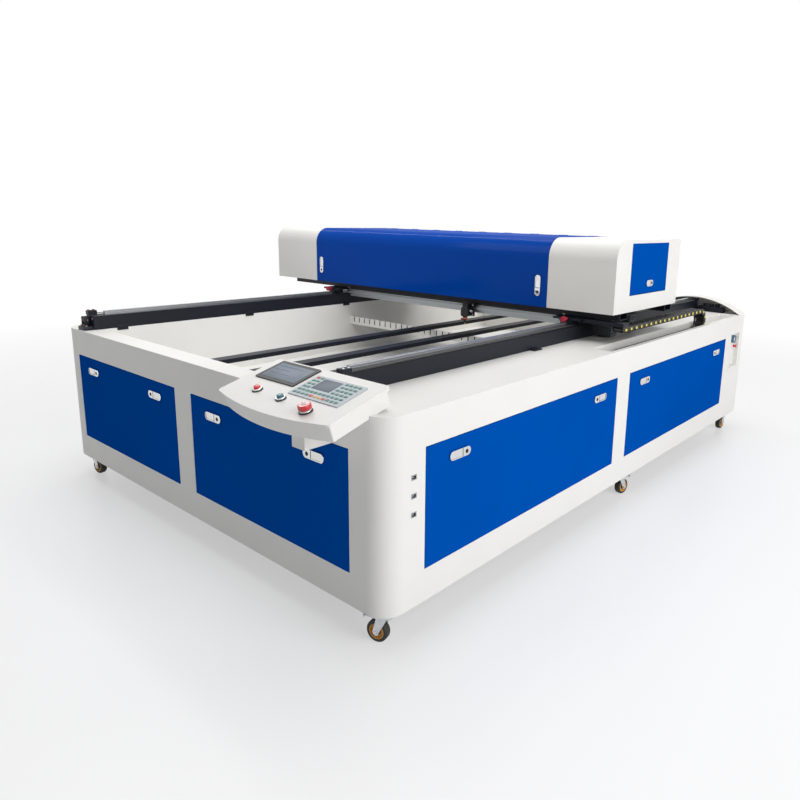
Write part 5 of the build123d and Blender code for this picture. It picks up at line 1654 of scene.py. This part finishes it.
@dataclass
class BodyTrim:
    """The small fittings on the sheet body: wall recess, sockets, hood hardware and exhaust collar.

    Attributes:
        wall: The right wall's outer face.
        recess_floor: The recess' floor.
        dial: The round inlet's place in the recess.
        lamp: The red lamp's place in the recess.
        sockets: The heights of the three socket mouths.
        socket_y: The sockets' front edge.
        inlet_rim: The rim of the round inlet.
        lamp_lens: The red lamp.
        inlet_face: The inlet's face.
        inlet_pin: A pin of the inlet.
        drive_coupling: The coupling under the hood.
        drive_wheel: A wheel of the drive under the hood.
        pins: The places of the inlet's pins round its middle.
        pin_lift: How far the pins' feet stand over the recess' floor.
        drive_at: The middle of the drive parts under the hood.
        drive_foot: The foot of those parts.
        drive_top: Where their wheels stand.
        drive_wheels: Each wheel's distance from the middle.
        screw_count: The number of the collar's screws.
        screw_circle: The radius on which they sit.
        screw_back: From the collar's mouth to its flange.
        collar_screw: A screw of the collar's flange.
    """

    wall: float = 1.3235
    recess_floor: float = 1.2995
    dial: tuple[float, float] = (1.535, 0.608)
    lamp: tuple[float, float] = (1.572, 0.558)
    sockets: tuple[float, ...] = (0.546, 0.486, 0.425)
    socket_y: float = -1.42415
    inlet_rim: Ring = Ring(0.025, 0.0075, 0.02, 40)
    lamp_lens: Disc = Disc(0.0085, 0.019, 0.003, 28)
    inlet_face: Disc = Disc(0.0195, 0.014, 0.001, 32)
    inlet_pin: Disc = Disc(0.0024, 0.0012, 0.0003, 12)
    drive_coupling: Disc = Disc(0.009, 0.014, 0.001, 24)
    drive_wheel: Disc = Disc(0.014, 0.018, 0.002, 24)
    pins: tuple[tuple[float, float], ...] = ((-0.007, 0.005), (0.007, 0.005), (0.0, -0.007))
    pin_lift: float = 0.0138
    drive_at: tuple[float, float] = (0.9935, 1.612)
    drive_foot: float = 0.757
    drive_top: float = 0.790
    drive_wheels: tuple[float, ...] = (0.09, 0.13, 0.17)
    screw_count: int = 8
    screw_circle: float = 0.0825
    screw_back: float = 0.057
    collar_screw: Disc = Disc(0.0042, 0.003, 0.0006, 16)

    def build(self) -> None:
        """Model the body's small fittings."""
        self.recess()
        self.socket_frames()
        self.hood_gear()
        self.collar()

    def recess(self) -> None:
        """Model the round inlet and the red lamp in the wall recess."""
        centre = Vector((self.recess_floor, *self.dial))
        rim = Shop.ring(centre, X_AXIS, *self.inlet_rim)
        Shop.dress(rim, "inlet_rim", PALETTE.inlet, "base", "grey_plastic")
        face = [Shop.disc(centre, X_AXIS, *self.inlet_face)]
        for dy, dz in self.pins:
            face.append(Shop.disc(centre + Vector((self.pin_lift, dy, dz)), X_AXIS, *self.inlet_pin))
        Shop.dress(Shop.join(face, "face"), "inlet_face", PALETTE.cream, "base", "grey_plastic")
        lamp = Shop.disc(Vector((self.recess_floor, *self.lamp)), X_AXIS, *self.lamp_lens)
        Shop.dress(lamp, "inlet_lamp", PALETTE.red, "base", "red_plastic")

    def socket_frames(self) -> None:
        """Model the thin raised frames round the three socket mouths."""
        frames = []
        for low in self.sockets:
            frame = Shop.block((self.wall - 0.0002, self.socket_y - 0.003, low - 0.003),
                               (self.wall + 0.0012, self.socket_y + 0.021, low + 0.015), 0.0004, 1)
            self.pierce(frame)
            frames.append(frame)
        Shop.dress(Shop.join(frames, "frames"), "socket_frames", PALETTE.profile, "base", "grey_plastic")
        tongues = []
        for low in self.sockets:
            tongues.append(Shop.block((self.wall - 0.011, self.socket_y + 0.004, low + 0.0042),
                                      (self.wall - 0.002, self.socket_y + 0.014, low + 0.0066), 0.0003, 1))
        Shop.dress(Shop.join(tongues, "tongues"), "socket_tongues", PALETTE.profile, "base", "black_plastic")

    @staticmethod
    def pierce(frame: bpy.types.Object) -> None:
        """Inset a frame's outer face and push the middle back through it."""
        Shop.clear()
        bpy.context.view_layer.objects.active = frame
        bpy.ops.object.mode_set(mode="EDIT")
        bpy.ops.mesh.select_mode(type="FACE")
        bpy.ops.mesh.select_all(action="DESELECT")
        bpy.ops.object.mode_set(mode="OBJECT")
        widest = max(face.area for face in frame.data.polygons)
        for face in frame.data.polygons:
            face.select = abs(face.normal.x) > 0.9 and face.area > widest * 0.9
        bpy.ops.object.mode_set(mode="EDIT")
        bpy.ops.mesh.inset(thickness=0.003)
        bpy.ops.mesh.delete(type="FACE")
        bpy.ops.object.mode_set(mode="OBJECT")
        wall = frame.modifiers.new("wall", "SOLIDIFY")
        wall.thickness = 0.0004
        bpy.context.view_layer.objects.active = frame
        bpy.ops.object.modifier_apply(modifier="wall")

    def hood_gear(self) -> None:
        """Model the dark drive parts that stand under the rear hood."""
        x, y = self.drive_at
        foot, top = self.drive_foot, self.drive_top
        parts = [Shop.block((x - 0.19, y - 0.037, foot), (x - 0.055, y + 0.038, top + 0.025), 0.004),
                 Shop.block((x + 0.055, y - 0.027, foot), (x + 0.215, y + 0.028, top), 0.004)]
        for dx in self.drive_wheels:
            parts.append(Shop.disc(Vector((x + dx, y, top)), Z_AXIS, *self.drive_wheel))
        parts.append(Shop.disc(Vector((x - 0.055, y, top + 0.002)), X_AXIS, *self.drive_coupling))
        Shop.dress(Shop.join(parts, "parts"), "hood_drive_parts", PALETTE.black, "base", "black_beam")

    def collar(self) -> None:
        """Model the flange screws of the exhaust collar."""
        low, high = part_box("exhaust_collar")
        middle = Vector(((low.x + high.x) / 2, high.y, (low.z + high.z) / 2))
        parts = []
        for step in range(self.screw_count):
            turn = Matrix.Rotation(math.tau * step / self.screw_count, 3, "Y")
            place = middle + turn @ Vector((self.screw_circle, 0, 0))
            place.y = high.y - self.screw_back
            parts.append(Shop.disc(place, Y_AXIS, *self.collar_screw))
        Shop.dress(Shop.join(parts, "screws"), "collar_screws", PALETTE.zinc, "base", "zinc")


def main() -> None:
    """Dress the solid parts, add the details and light the scene."""
    logging.basicConfig(level=logging.INFO, format="%(message)s")
    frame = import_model()
    Coats(frame["nodes"]).wear()
    Latches().build()
    Console().build()
    Casters().build()
    RailGear().build()
    CableChain().build(frame["nodes"])
    Combs().build()
    GantryGear().build()
    BodyTrim().build()
    Studio().build()


if __name__ == "__main__":
    main()
